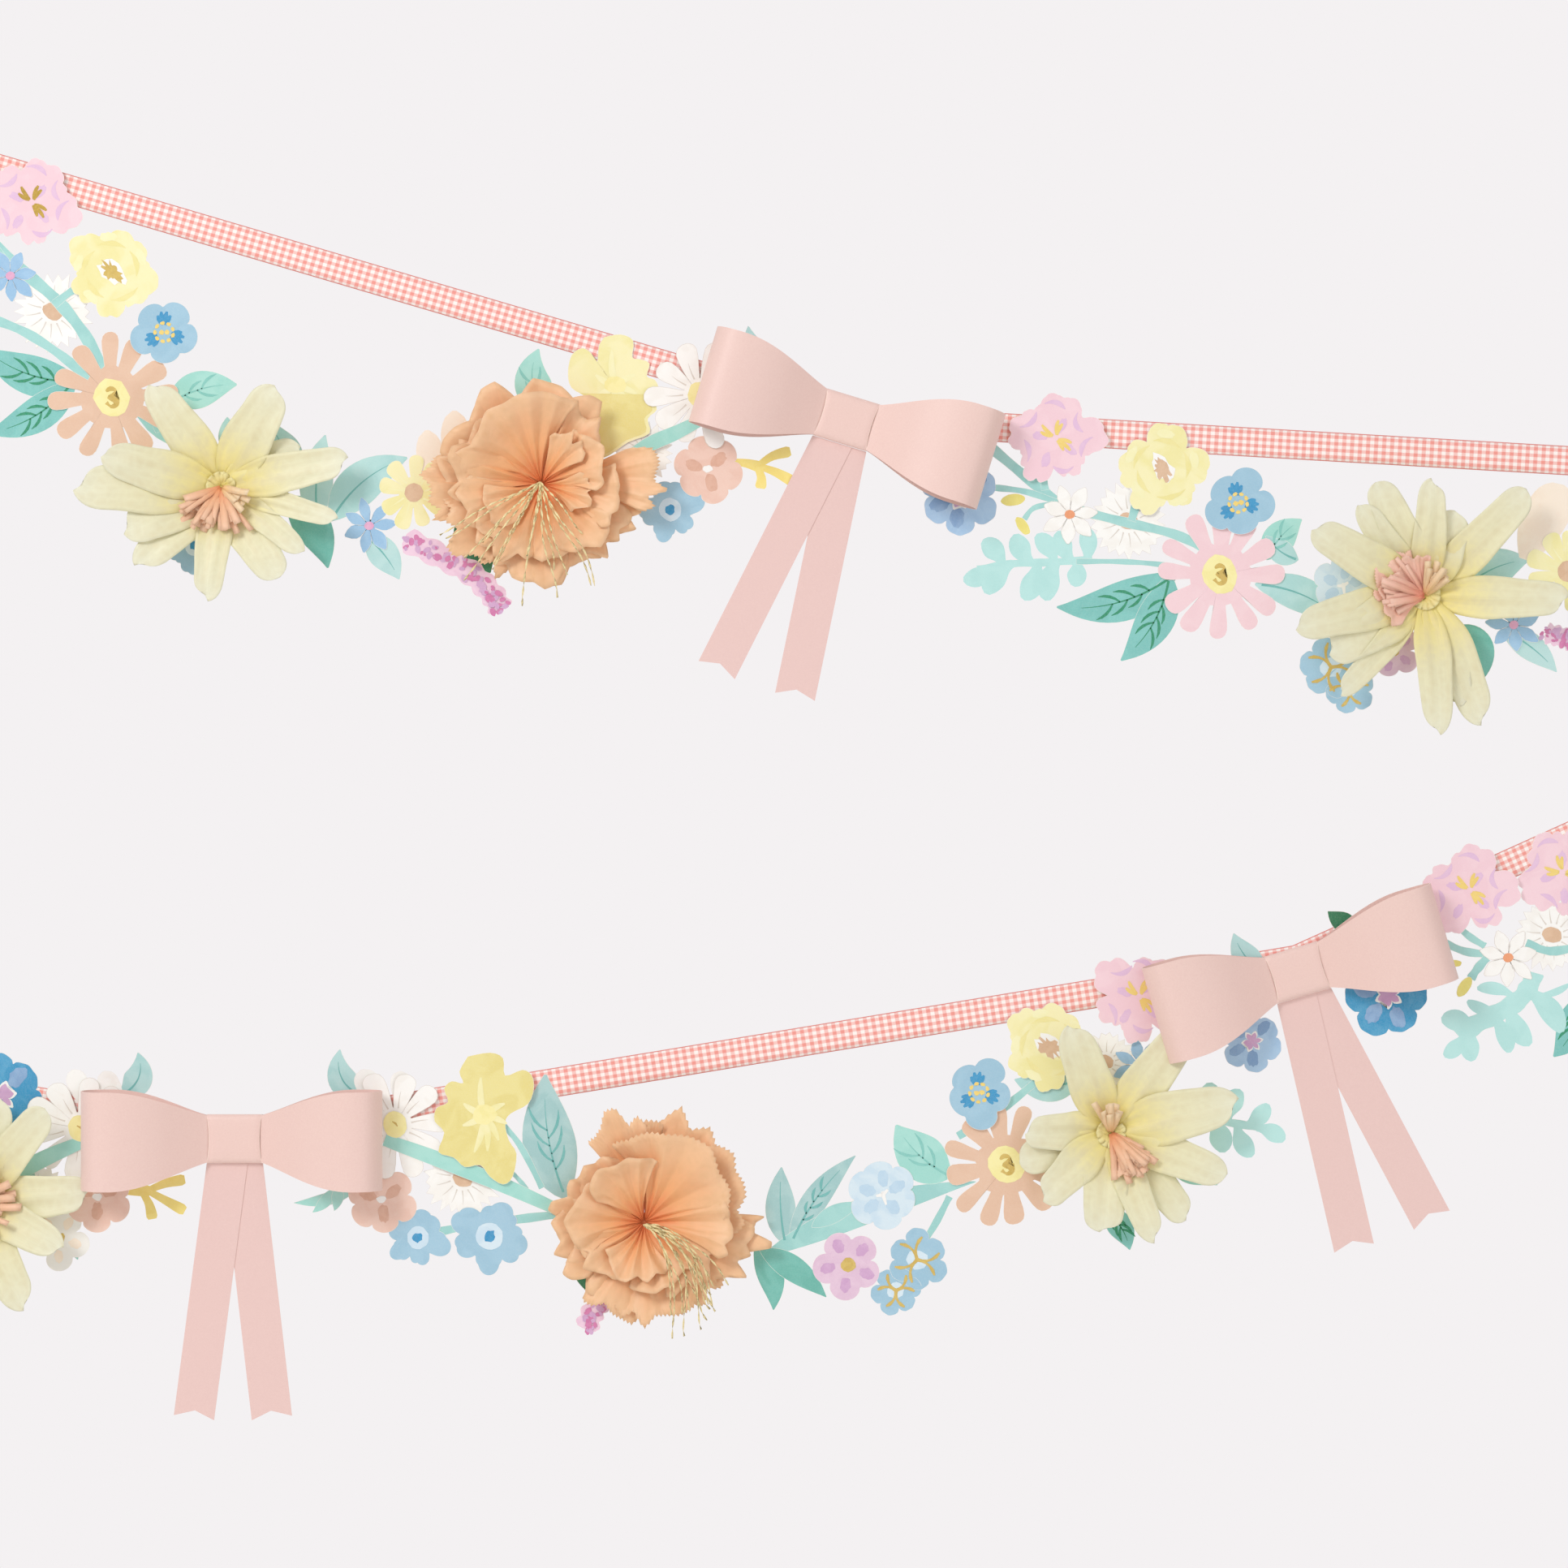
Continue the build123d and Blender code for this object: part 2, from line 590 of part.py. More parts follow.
def bow_knot(bow):
    """The short band wrapped round the waist, seated on the ribbon."""
    x, z = place(bow["middle_share"])
    along = Vector(*ray(1, bow["turn"]))
    seen_from_side = Plane(
        origin=(x, -ribbon_front, z), x_dir=(-along.Y, 0, along.X), z_dir=(along.X, 0, along.Y)
    )
    with BuildPart() as knot:
        with BuildSketch(seen_from_side) as side:
            with Locations((0, knot_seat + knot_depth * half_share)):
                Rectangle(knot_half_height * 2, knot_depth)
            chamfer(side.vertices(), length=knot_corner_cut)
            offset(amount=-bow_paper, mode=Mode.SUBTRACT)
        extrude(amount=knot_half_width, both=True)
    return knot.part


def bow_tail(bow, lean, stagger, height):
    """A flat card tail with a swallow-tailed end, hung just below the knot."""
    half_width = tail_width * half_share
    top = -knot_half_height - tail_clearance * 2
    down = Vector(sin(radians(lean)), -cos(radians(lean)))
    aside = Vector(cos(radians(lean)), sin(radians(lean)))
    middle_top = Vector(stagger, top)
    slant = half_width / cos(radians(lean))
    foot = middle_top + down * tail_length
    notch = middle_top + down * (tail_length - tail_notch)
    corners = [
        middle_top + Vector(slant, 0),
        foot + aside * half_width,
        notch,
        foot - aside * half_width,
        middle_top - Vector(slant, 0),
    ]
    with BuildPart() as tail:
        with BuildSketch(turned_plane(bow["middle_share"], bow["turn"], height)):
            with BuildLine():
                Polyline(*[(corner.X, corner.Y) for corner in corners], close=True)
            make_face()
        extrude(amount=card_thickness)
    return tail.part


def paper_bows():
    """Three bows: loops, knot and two tails, the left tail in front of the right one."""
    for name, bow in bows.items():
        left_lean, right_lean = bow["tails"]
        front_layer = tail_layer + card_thickness
        save(bow_loops(bow), f"{name}_loops")
        save(bow_knot(bow), f"{name}_knot")
        save(bow_tail(bow, left_lean, -tail_stagger, front_layer), f"{name}_left_tail")
        save(bow_tail(bow, right_lean, tail_stagger, tail_layer), f"{name}_right_tail")


# Card swags
def leaf_outline(foot, tip):
    """A leaf that swells between its foot and its tip."""
    one_side = bowed_line(foot, tip, leaf_bulge_share, leaf_cuts)
    other_side = bowed_line(tip, foot, leaf_bulge_share, leaf_cuts)
    return cut_out(one_side + other_side)


def swag_base(name):
    """The swag's lowest card: stem, twigs, leaves and the flowers cut in one with them."""
    swag = swag_shares[name]
    with BuildPart() as base:
        with BuildSketch(picture_plane(0)):
            with BuildLine():
                Polyline(*[place(point) for point in swag["stem"]])
            trace(line_width=stem_width)
            for foot_share, tip_share in swag["twigs"]:
                with BuildLine():
                    Line(place(foot_share), place(tip_share))
                trace(line_width=twig_width)
            for foot_share, tip_share in swag["leaves"]:
                add(leaf_outline(Vector(*place(foot_share)), Vector(*place(tip_share))))
            for kind, spot_share in swag["flowers"]:
                with Locations(place(spot_share)):
                    add(outlines[kind])
            for flower_swag, _, _, spot_share, _, _ in card_flowers:
                if flower_swag == name:
                    with Locations(place(spot_share)):
                        Rectangle(seat_size, seat_size)
        extrude(amount=card_thickness)
    return base.part


def card_flower(kind, spot_share, turn, pads):
    """One die-cut flower, lifted off the base card by its foam pads."""
    with BuildPart() as flower:
        with BuildSketch(turned_plane(spot_share, turn, card_thickness + pads * pad_thickness)):
            add(outlines[kind])
        extrude(amount=card_thickness)
    return flower.part


def foam_pads(swags):
    """The square pads under the lifted flowers of some swags."""
    with BuildPart() as group:
        for swag, _, _, spot_share, turn, pads in card_flowers:
            if swag in swags and pads > 0:
                with BuildSketch(turned_plane(spot_share, turn, card_thickness)):
                    Rectangle(pad_size, pad_size)
                extrude(amount=pads * pad_thickness)
    return group.part


def swags():
    """Five base cards, the flowers on them and the pads between."""
    for name in swag_shares:
        save(swag_base(name), f"{name}_base")
    for swag, name, kind, spot_share, turn, pads in card_flowers:
        save(card_flower(kind, spot_share, turn, pads), f"{swag}_{name}")
    for stretch, names in pad_groups.items():
        save(foam_pads(names), f"foam_pads_{stretch}")


# Tissue flowers
def petal_outline(length, width):
    """A soft petal with a narrow root and a round tip."""
    root = width * tissue_root_share
    side = width * tissue_side_share
    belly = width * tissue_belly_share
    shoulder = length * tissue_shoulder_share
    waist = shoulder * half_share
    head = Vector(shoulder, side)
    tip = bowed_line(Vector(shoulder, -side), head, (shoulder - length) / (side * 2), tissue_cuts)
    return cut_out([(0, -root), (waist, -belly), *tip, head, (waist, belly), (0, root)])


def tilted_plane(middle_share, turn, tilt, root_radius, height):
    """A plane that starts at the hub and rises outward towards the viewer."""
    x, z = place(middle_share)
    across, up = ray(root_radius, turn)
    out_x, out_z = ray(cos(radians(tilt)), turn)
    normal_x, normal_z = ray(-sin(radians(tilt)), turn)
    return Plane(
        origin=(x + across, -ribbon_front - height, z + up),
        x_dir=(out_x, -sin(radians(tilt)), out_z),
        z_dir=(normal_x, -cos(radians(tilt)), normal_z),
    )


def tissue_petals(middle_share, petals):
    """A hub with single petals of several lengths."""
    with BuildPart() as flower:
        with BuildSketch(turned_plane(middle_share, 0, card_thickness)):
            RegularPolygon(tissue_hub_radius, hub_sides)
        extrude(amount=tissue_hub_height)
        for turn, reach_share in petals:
            length = (tissue_petal_reach * reach_share - tissue_root_radius) / cos(radians(tissue_tilt))
            root = tilted_plane(middle_share, turn, tissue_tilt, tissue_root_radius, tissue_root_height)
            with BuildSketch(root):
                add(petal_outline(length, tissue_petal_width))
            extrude(amount=tissue_thickness)
    return flower.part


def tissue_fringe(middle_share):
    """The cut tuft of strips at a tissue daisy's heart."""
    hub_front = card_thickness + tissue_hub_height
    with BuildPart() as fringe:
        with BuildSketch(turned_plane(middle_share, 0, hub_front)):
            RegularPolygon(fringe_stub_radius, fringe_strips)
        extrude(amount=fringe_stub_height)
        for strip in range(fringe_strips):
            turn = strip * full_turn / fringe_strips
            root_radius = fringe_stub_radius - fringe_strip_width
            with BuildSketch(tilted_plane(middle_share, turn, fringe_tilt, root_radius, hub_front)):
                with Locations((fringe_length * half_share, 0)):
                    Rectangle(fringe_length, fringe_strip_width)
            extrude(amount=tissue_thickness)
    return fringe.part


def pompom(middle_share):
    """Three rings of wide ruffles, each ring steeper than the one outside it."""
    with BuildPart() as ball:
        with BuildSketch(turned_plane(middle_share, 0, card_thickness)):
            RegularPolygon(tissue_hub_radius, hub_sides)
        extrude(amount=tissue_hub_height)
        for count, tilt, length in ruffle_rings:
            for ruffle in range(count):
                turn = ruffle * full_turn / count + tilt
                root = tilted_plane(middle_share, turn, tilt, tissue_root_radius, tissue_root_height)
                with BuildSketch(root):
                    add(petal_outline(length, ruffle_width))
                extrude(amount=tissue_thickness)
    return ball.part


def tinsel(middle_share):
    """Foil strands that spring from the heart of a pompom and hang over its lower half."""
    with BuildPart() as strands:
        with BuildSketch(turned_plane(middle_share, 0, card_thickness + tissue_hub_height)):
            Circle(tinsel_stub_radius)
        extrude(amount=tinsel_height)
        strand_height = card_thickness + tissue_hub_height + tinsel_height
        for turn in tinsel_turns:
            with BuildSketch(turned_plane(middle_share, turn, strand_height)):
                with Locations((tinsel_length * half_share, 0)):
                    Rectangle(tinsel_length, tinsel_width)
            extrude(amount=-tinsel_thickness)
    return strands.part


def tissue_flowers():
    """Four daisies with fringed hearts and two pompoms with tinsel."""
    for swag, (middle_share, petals) in tissue_daisies.items():
        save(tissue_petals(middle_share, petals), f"{swag}_tissue_petals")
        save(tissue_fringe(middle_share), f"{swag}_tissue_fringe")
    for swag, middle_share in pompom_shares.items():
        save(pompom(middle_share), f"{swag}_pompom")
        save(tinsel(middle_share), f"{swag}_tinsel")


os.makedirs("parts", exist_ok=True)
ribbons()
paper_bows()
swags()
tissue_flowers()
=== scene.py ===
"""The looks of a paper flower and bow garland on gingham ribbon.

Places are pixels of the 1932 pixel picture, turned into metres by Seat. Sizes beside them are millimetres.
Heights are millimetres in front of the ribbon's face, towards the viewer.
"""

import copy
import json
import math
import random

import bpy
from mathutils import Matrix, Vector, noise

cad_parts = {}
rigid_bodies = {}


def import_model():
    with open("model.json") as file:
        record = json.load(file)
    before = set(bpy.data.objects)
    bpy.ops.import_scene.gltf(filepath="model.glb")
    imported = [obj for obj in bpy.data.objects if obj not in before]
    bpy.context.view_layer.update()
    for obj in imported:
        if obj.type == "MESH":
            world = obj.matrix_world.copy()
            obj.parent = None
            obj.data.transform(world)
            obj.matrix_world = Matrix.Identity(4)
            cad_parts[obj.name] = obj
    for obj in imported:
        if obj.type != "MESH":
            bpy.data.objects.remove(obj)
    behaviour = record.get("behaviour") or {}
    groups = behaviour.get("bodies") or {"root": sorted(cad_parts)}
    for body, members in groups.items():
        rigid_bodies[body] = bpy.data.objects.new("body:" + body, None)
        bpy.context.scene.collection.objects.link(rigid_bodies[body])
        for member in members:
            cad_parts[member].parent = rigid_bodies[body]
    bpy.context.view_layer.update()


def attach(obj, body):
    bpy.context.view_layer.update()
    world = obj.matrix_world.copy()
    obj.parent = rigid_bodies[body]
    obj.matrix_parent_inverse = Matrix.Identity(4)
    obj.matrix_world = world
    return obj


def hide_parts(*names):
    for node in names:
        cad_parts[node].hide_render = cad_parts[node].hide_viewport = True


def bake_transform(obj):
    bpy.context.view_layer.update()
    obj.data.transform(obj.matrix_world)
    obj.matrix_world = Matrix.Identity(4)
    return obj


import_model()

# The picture's side in pixels and in millimetres, and where its corner lies in the frame
PICTURE = 1932
PICTURE_MM = 805.0
PIXEL = PICTURE_MM / PICTURE
LEFT = 0.020 * PICTURE_MM
TOP = 0.102 * PICTURE_MM
# The ribbon's face in front of the frame's plane, and what card, thin card, pads, white rims and ink measure
RIBBON_FRONT = 4.6
CARD = 0.4
THIN_CARD = 0.25
PAD = 0.7
RIM = 0.12
INK = 0.05
# The rings of a domed card, as shares of its outline
RINGS = (0.04, 0.35, 0.7, 1.0)
# A seat's curl is its rise this far from its middle
CURL_REACH = 30.0
# Patterns to the metre
FIBRES, POOLS, CRUMPLES = 1400, 70, 190
# Of the gingham: the checks' size along and across, and where the selvedge starts and is full
CHECKS = (4.1, 3.4)
SELVEDGE = (6.9, 7.15)


# Shader nodes
def linear(colour):
    """A colour as seen, 0 to 255, as the shader's linear values."""
    shares = [value / 255 for value in colour]
    return (*(s / 12.92 if s <= 0.04045 else ((s + 0.055) / 1.055) ** 2.4 for s in shares), 1.0)


class Graph:
    """A tree of shader nodes. An input takes a plain value, or the output that feeds it."""

    def __init__(self, tree):
        self.tree = tree

    def feed(self, node, inputs):
        for socket, value in inputs.items():
            if isinstance(value, bpy.types.NodeSocket):
                self.tree.links.new(value, node.inputs[socket])
            else:
                node.inputs[socket].default_value = value

    def add(self, kind, inputs, **settings):
        node = self.tree.nodes.new("ShaderNode" + kind)
        for name, value in settings.items():
            setattr(node, name, value)
        self.feed(node, inputs)
        return node

    def maths(self, operation, *values):
        return self.add("Math", dict(enumerate(values)), operation=operation).outputs[0]

    def mix(self, share, first, second, **settings):
        return self.add("Mix", {0: share, 6: first, 7: second}, data_type="RGBA", **settings).outputs[2]

    def between(self, value, low, high, **settings):
        return self.add("MapRange", {"Value": value, "From Min": low, "From Max": high}, **settings).outputs[0]

    def noise(self, place, scale, detail, **more):
        return self.add("TexNoise", {"Vector": place, "Scale": scale, "Detail": detail, **more}).outputs["Fac"]

    def object_place(self):
        return self.add("TexCoord", {}).outputs["Object"]

    def printed_place(self):
        return self.add("UVMap", {}, uv_map="print").outputs["UV"]

    def group(self, tree, **inputs):
        return self.add("Group", inputs, node_tree=tree).outputs

    def ramp(self, value, *stops):
        """A colour ramp. stops: place and colour of each."""
        node = self.add("ValToRGB", {"Fac": value})
        elements = node.color_ramp.elements
        for i, (place, colour) in ((0, stops[0]), (1, stops[-1])):
            elements[i].position, elements[i].color = place, linear(colour)
        for place, colour in stops[1:-1]:
            elements.new(place).color = linear(colour)
        return node.outputs["Color"]

    def dress(self, surface, colour, height, strength, distance):
        """Feeds a surface its colour, and a height through a Bump node."""
        relief = self.add("Bump", {"Strength": strength, "Distance": distance, "Height": height})
        self.feed(surface, {"Base Color": colour, "Normal": relief.outputs["Normal"]})


def new_group(name, inputs, outputs):
    """A node group: its graph, what it is given and the node that takes what it makes."""
    tree = bpy.data.node_groups.new(name, "ShaderNodeTree")
    for label, value in inputs.items():
        kind = "NodeSocketFloat" if isinstance(value, float) else "NodeSocketColor"
        tree.interface.new_socket(name=label, in_out="INPUT", socket_type=kind).default_value = value
    for label, kind in outputs.items():
        tree.interface.new_socket(name=label, in_out="OUTPUT", socket_type="NodeSocket" + kind)
    return Graph(tree), tree.nodes.new("NodeGroupInput").outputs, tree.nodes.new("NodeGroupOutput")


def paper_grain():
    """Fine fibres and flecks of uncoated card."""
    outputs = {"Mask": "Float", "Height": "Float"}
    graph, given, made = new_group("paper grain", {"Size": 1.0, "Strength": 1.0}, outputs)
    scale = graph.maths("DIVIDE", FIBRES, given["Size"])
    fibre = graph.noise(graph.object_place(), scale, 4, Roughness=0.7)
    mask = graph.maths("MULTIPLY", graph.between(fibre, 0.3, 0.7), given["Strength"])
    graph.feed(made, {"Mask": mask, "Height": fibre})
    return graph.tree


def brush_wash():
    """A colour laid on with a wet brush: soft pools of a second colour."""
    white = (1, 1, 1, 1)
    inputs = {"Colour": white, "Pool": white, "Amount": 0.5, "Size": 1.0}
    graph, given, made = new_group("brush wash", inputs, {"Colour": "Color"})
    pool = graph.noise(graph.object_place(), graph.maths("DIVIDE", POOLS, given["Size"]), 3, Distortion=0.8)
    edge = graph.between(pool, 0.42, 0.62, interpolation_type="SMOOTHSTEP")
    amount = graph.maths("MULTIPLY", edge, given["Amount"])
    graph.feed(made, {"Colour": graph.mix(amount, given["Colour"], given["Pool"])})
    return graph.tree


def tissue_crinkle():
    """Creases of thin tissue: long pleats along a petal and small crumples over them."""
    outputs = {"Mask": "Float", "Height": "Float"}
    graph, given, made = new_group("tissue crinkle", {"Pleats": 9.0, "Crumple": 1.0}, outputs)
    stretched = graph.add("Mapping", {"Vector": graph.printed_place(), "Scale": (1, 0.16, 1)}).outputs[0]
    pleat = graph.noise(stretched, given["Pleats"], 3)
    inputs = {"Vector": graph.object_place(), "Scale": CRUMPLES}
    crumple = graph.add("TexVoronoi", inputs, feature="DISTANCE_TO_EDGE").outputs["Distance"]
    height = graph.maths("ADD", pleat, graph.maths("MULTIPLY", crumple, given["Crumple"]))
    # The mask marks the creases, which the tissue finish darkens as painted shade.
    graph.feed(made, {"Mask": graph.between(height, 0.35, 0.75), "Height": height})
    return graph.tree


GRAIN = paper_grain()
WASH = brush_wash()
CRINKLE = tissue_crinkle()


# Finishes
def new_finish(name, roughness):
    """A material, its graph and its surface."""
    finish = bpy.data.materials.new(name)
    finish.use_nodes = True
    surface = finish.node_tree.nodes["Principled BSDF"]
    surface.inputs["Roughness"].default_value = roughness
    return finish, Graph(finish.node_tree), surface


def printed(name, colour, pool, amount, size):
    """Printed card: a brushed wash with the card's grain showing through."""
    finish, graph, surface = new_finish(name, roughness=0.72)
    wash = graph.group(WASH, Colour=linear(colour), Pool=linear(pool), Amount=amount, Size=size)
    grain = graph.group(GRAIN, Size=1.0, Strength=0.10)
    tone = graph.mix(grain["Mask"], wash["Colour"], linear((255, 252, 248)))
    graph.dress(surface, tone, grain["Height"], strength=0.25, distance=0.0001)
    return finish


def flecked(name, roughness, colour, fleck, size, strength, relief, depth, **more):
    """Card, foil or foam with small flecks of a second colour."""
    finish, graph, surface = new_finish(name, roughness)
    grain = graph.group(GRAIN, Size=size, Strength=strength)
    tone = graph.mix(grain["Mask"], linear(colour), linear(fleck))
    graph.dress(surface, tone, grain["Height"], relief, depth)
    graph.feed(surface, more)
    return finish


def bow_paper(name, colour, fleck):
    """Smooth dusty card with a fine fleck and a faint pearl sheen."""
    sheen = {"Sheen Weight": 0.08}
    return flecked(name, 0.50, colour, fleck, size=1.3, strength=0.55, relief=0.2, depth=0.00008, **sheen)


def foil(name, colour, metal):
    """Gold foil or tinsel, bright with small dark flecks."""
    fleck = [value * 0.7 for value in colour]
    return flecked(name, 0.30, colour, fleck, size=1.6, strength=0.5, relief=0.5, depth=0.0002, Metallic=metal)


def tissue(name, heart, body, edge, heart_reach, through, pleats=4.0):
    """Thin tissue, lit through from behind: its heart, body and edge colours along a petal, with painted shade in its
    creases.
    """
    finish, graph, surface = new_finish(name, roughness=0.48)
    petal_share = graph.add("SeparateXYZ", {0: graph.printed_place()}).outputs["Y"]
    crinkle = graph.group(CRINKLE, Pleats=pleats, Crumple=0.4)
    along = graph.maths("MULTIPLY_ADD", crinkle["Mask"], 0.16, petal_share)
    # Along the petal: the paler edge is painted light where one layer of tissue lets light through; a darker heart is
    # partly the tissue's colour and partly painted shade in the gathered middle.
    tone = graph.ramp(along, (0.05, heart), (heart_reach, body), (1.0, edge))
    # Painted shade: the colour is multiplied darker where the crinkle mask marks the creases.
    tone = graph.mix(crinkle["Mask"], tone, linear((246, 240, 228)), blend_type="MULTIPLY")
    graph.dress(surface, tone, crinkle["Height"], strength=0.55, distance=0.0008)
    lit = graph.add("BsdfTranslucent", {"Color": tone})
    blend = graph.add("MixShader", {0: through, 1: surface.outputs[0], 2: lit.outputs[0]})
    graph.feed(graph.tree.nodes["Material Output"], {"Surface": blend.outputs[0]})
    return finish


def gingham():
    """Woven gingham: coral checks on white with coral selvedges and the yarns showing."""
    finish, graph, surface = new_finish("gingham ribbon", roughness=0.85)
    place = graph.printed_place()
    ways = graph.add("SeparateXYZ", {0: place}).outputs
    bands = []
    for way, period, shift in (("X", CHECKS[0], 0), ("Y", CHECKS[1], math.pi)):
        wave = graph.maths("COSINE", graph.maths("MULTIPLY_ADD", ways[way], 2 * math.pi / period, shift))
        bands.append(graph.between(wave, -0.35, 0.35, interpolation_type="SMOOTHSTEP"))
    share = graph.maths("MULTIPLY", graph.maths("ADD", *bands), 0.5)
    checks = graph.ramp(share, (0.0, (255, 247, 242)), (0.5, (250, 203, 196)), (1.0, (244, 158, 148)))
    selvedge = graph.between(graph.maths("ABSOLUTE", ways["Y"]), *SELVEDGE)
    tone = graph.mix(selvedge, checks, linear((234, 142, 134)))
    yarn = graph.add("TexWave", {"Vector": place, "Scale": 0.75, "Distortion": 0.4}).outputs["Fac"]
    graph.dress(surface, tone, yarn, strength=0.3, distance=0.0001)
    return finish


# Printed colours: colour, pool colour, how much pool, size of the pools
INKS = {
    "pink petal": ((244, 206, 216), (248, 214, 222), 0.7, 1.0),
    "mauve stroke": ((228, 190, 221), (234, 198, 222), 0.6, 0.5),
    "yellow petal": ((248, 241, 186), (241, 232, 158), 0.8, 1.3),
    "yellow shade": ((240, 229, 152), (246, 236, 168), 0.6, 0.6),
    "yellow light": ((247, 242, 186), (250, 245, 200), 0.5, 0.6),
    "white ink": ((250, 249, 246), (246, 243, 238), 0.4, 0.5),
    "blue petal": ((154, 195, 217), (164, 203, 224), 0.7, 1.0),
    "bright stroke": ((34, 144, 196), (52, 158, 206), 0.5, 0.4),
    "yellow dot": ((244, 214, 118), (238, 204, 100), 0.5, 0.4),
    "peach petal": ((229, 190, 162), (234, 197, 170), 0.6, 1.0),
    "rose petal": ((243, 207, 213), (246, 214, 219), 0.6, 1.0),
    "butter centre": ((250, 240, 170), (243, 231, 148), 0.6, 0.5),
    "ochre swirl": ((208, 176, 82), (222, 192, 100), 0.6, 0.3),
    "white petal": ((251, 250, 246), (244, 240, 233), 0.6, 0.8),
    # white shade prints the veins of white flowers, and makes the grey rim round white cards: partly their cut edge,
    # partly painted shadow.
    "white shade": ((222, 214, 204), (230, 223, 214), 0.5, 0.4),
    "tan centre": ((218, 180, 146), (228, 194, 162), 0.6, 0.5),
    "orange centre": ((240, 160, 112), (234, 148, 98), 0.5, 0.4),
    "star petal": ((150, 192, 226), (164, 203, 234), 0.7, 0.7),
    "pink dot": ((226, 164, 200), (234, 180, 212), 0.5, 0.4),
    "salmon petal": ((242, 206, 190), (236, 194, 176), 0.7, 0.8),
    "salmon mark": ((222, 172, 148), (230, 184, 162), 0.6, 0.4),
    "ice petal": ((216, 234, 244), (200, 224, 240), 0.8, 0.8),
    "ice mark": ((188, 216, 236), (196, 222, 240), 0.6, 0.4),
    "violet petal": ((226, 192, 216), (234, 204, 224), 0.7, 0.6),
    "violet mark": ((208, 162, 204), (218, 176, 212), 0.6, 0.4),
    "azure petal": ((36, 148, 196), (74, 164, 206), 0.8, 0.8),
    "steel petal": ((126, 164, 206), (146, 182, 218), 0.7, 0.7),
    "sky petal": ((172, 206, 236), (158, 194, 228), 0.7, 0.7),
    "lilac floret": ((242, 208, 228), (236, 196, 220), 0.6, 0.4),
    "magenta dot": ((214, 122, 174), (204, 106, 162), 0.5, 0.3),
    "sprig yellow": ((250, 228, 130), (244, 218, 112), 0.6, 0.6),
    "bud yellow": ((240, 228, 128), (234, 218, 110), 0.6, 0.6),
    "mint stem": ((164, 217, 212), (150, 207, 203), 0.8, 1.0),
    "mint leaf": ((158, 219, 208), (176, 228, 218), 0.6, 1.0),
    "mint stroke": ((128, 200, 190), (142, 210, 200), 0.5, 0.5),
    "branch mint": ((184, 230, 226), (174, 223, 219), 0.6, 1.0),
    "aqua leaf": ((170, 216, 214), (188, 226, 224), 0.7, 1.0),
    "teal leaf": ((126, 200, 193), (114, 189, 182), 0.7, 1.0),
    "deep leaf": ((98, 180, 166), (118, 194, 182), 0.7, 1.0),
    "pale leaf": ((186, 223, 221), (172, 214, 213), 0.7, 1.0),
    "grey leaf": ((158, 200, 200), (178, 212, 211), 0.7, 1.0),
    "vein green": ((0, 140, 98), (14, 150, 110), 0.5, 0.3),
    "soft vein": ((104, 180, 176), (120, 192, 188), 0.5, 0.4),
    "forest leaf": ((18, 118, 74), (24, 130, 84), 0.6, 0.8),
    "card edge": ((246, 240, 232), (240, 233, 224), 0.4, 0.6),
    "ripe petal": ((238, 225, 148), (230, 214, 128), 0.7, 1.0),
    "cream petal": ((249, 234, 216), (246, 226, 206), 0.6, 0.8),
    "plain card": ((246, 244, 239), (240, 237, 231), 0.5, 2.0),
}
# Tissues: colours of the heart, the body and the edge, the heart's reach, the light let through, sometimes pleats
# The darker coral, pink and peach hearts are partly the tissue's colour and partly painted shade in the gathered
# middle; the yellow hearts are the tissue's own colour.
# The paler edge colours are painted light, where one layer of tissue lets light through.
TISSUES = {
    "cream tissue": ((253, 236, 132), (244, 240, 203), (244, 244, 222), 0.46, 0.14),
    "yellow tissue": ((252, 234, 136), (252, 238, 160), (250, 240, 178), 0.5, 0.14),
    "coral tissue": ((254, 166, 118), (255, 200, 162), (255, 214, 184), 0.5, 0.14),
    "pink tissue": ((255, 158, 138), (255, 192, 172), (255, 212, 194), 0.5, 0.10),
    "pale coral tissue": ((254, 214, 150), (255, 222, 180), (255, 230, 194), 0.5, 0.14),
    "peach tissue": ((242, 132, 78), (255, 190, 134), (255, 212, 170), 0.48, 0.12, 6.0),
}


def finishes():
    """Every finish by its name."""
    made = {name: printed(name, *values) for name, values in INKS.items()}
    made.update({name: tissue(name, *values) for name, values in TISSUES.items()})
    made["gold foil"] = foil("gold foil", (204, 168, 78), metal=0.5)
    # The tinsel is not metal and is paler and brighter than its gold: painted light for the foil's glints, and to make
    # up for shade on the twisted strands.
    made["tinsel"] = foil("tinsel", (255, 236, 178), metal=0.0)
    made["bow paper"] = bow_paper("bow paper", (239, 208, 199), (231, 195, 187))
    # The tails' paper is the bow paper made a little darker: painted shade against the extra light the tails get.
    made["tail paper"] = bow_paper("tail paper", (236, 203, 197), (229, 194, 188))
    made["bow edge"] = bow_paper("bow edge", (244, 224, 212), (238, 212, 200))
    foam, dent = (250, 248, 244), (226, 222, 214)
    made["foam"] = flecked("foam", 0.9, foam, dent, size=2.5, strength=0.6, relief=0.6, depth=0.0003)
    made["gingham"] = gingham()
    return made


FINISHES = finishes()


# Places and outlines
def picture(px, py):
    """A pixel of the picture in millimetres across and up."""
    return px * PIXEL, -py * PIXEL


def around(turn, radius):
    """A point at some turn and distance from a middle."""
    return radius * math.cos(turn), radius * math.sin(turn)


def spun(x, y, turn):
    """A point turned about the middle."""
    return x * math.cos(turn) - y * math.sin(turn), x * math.sin(turn) + y * math.cos(turn)


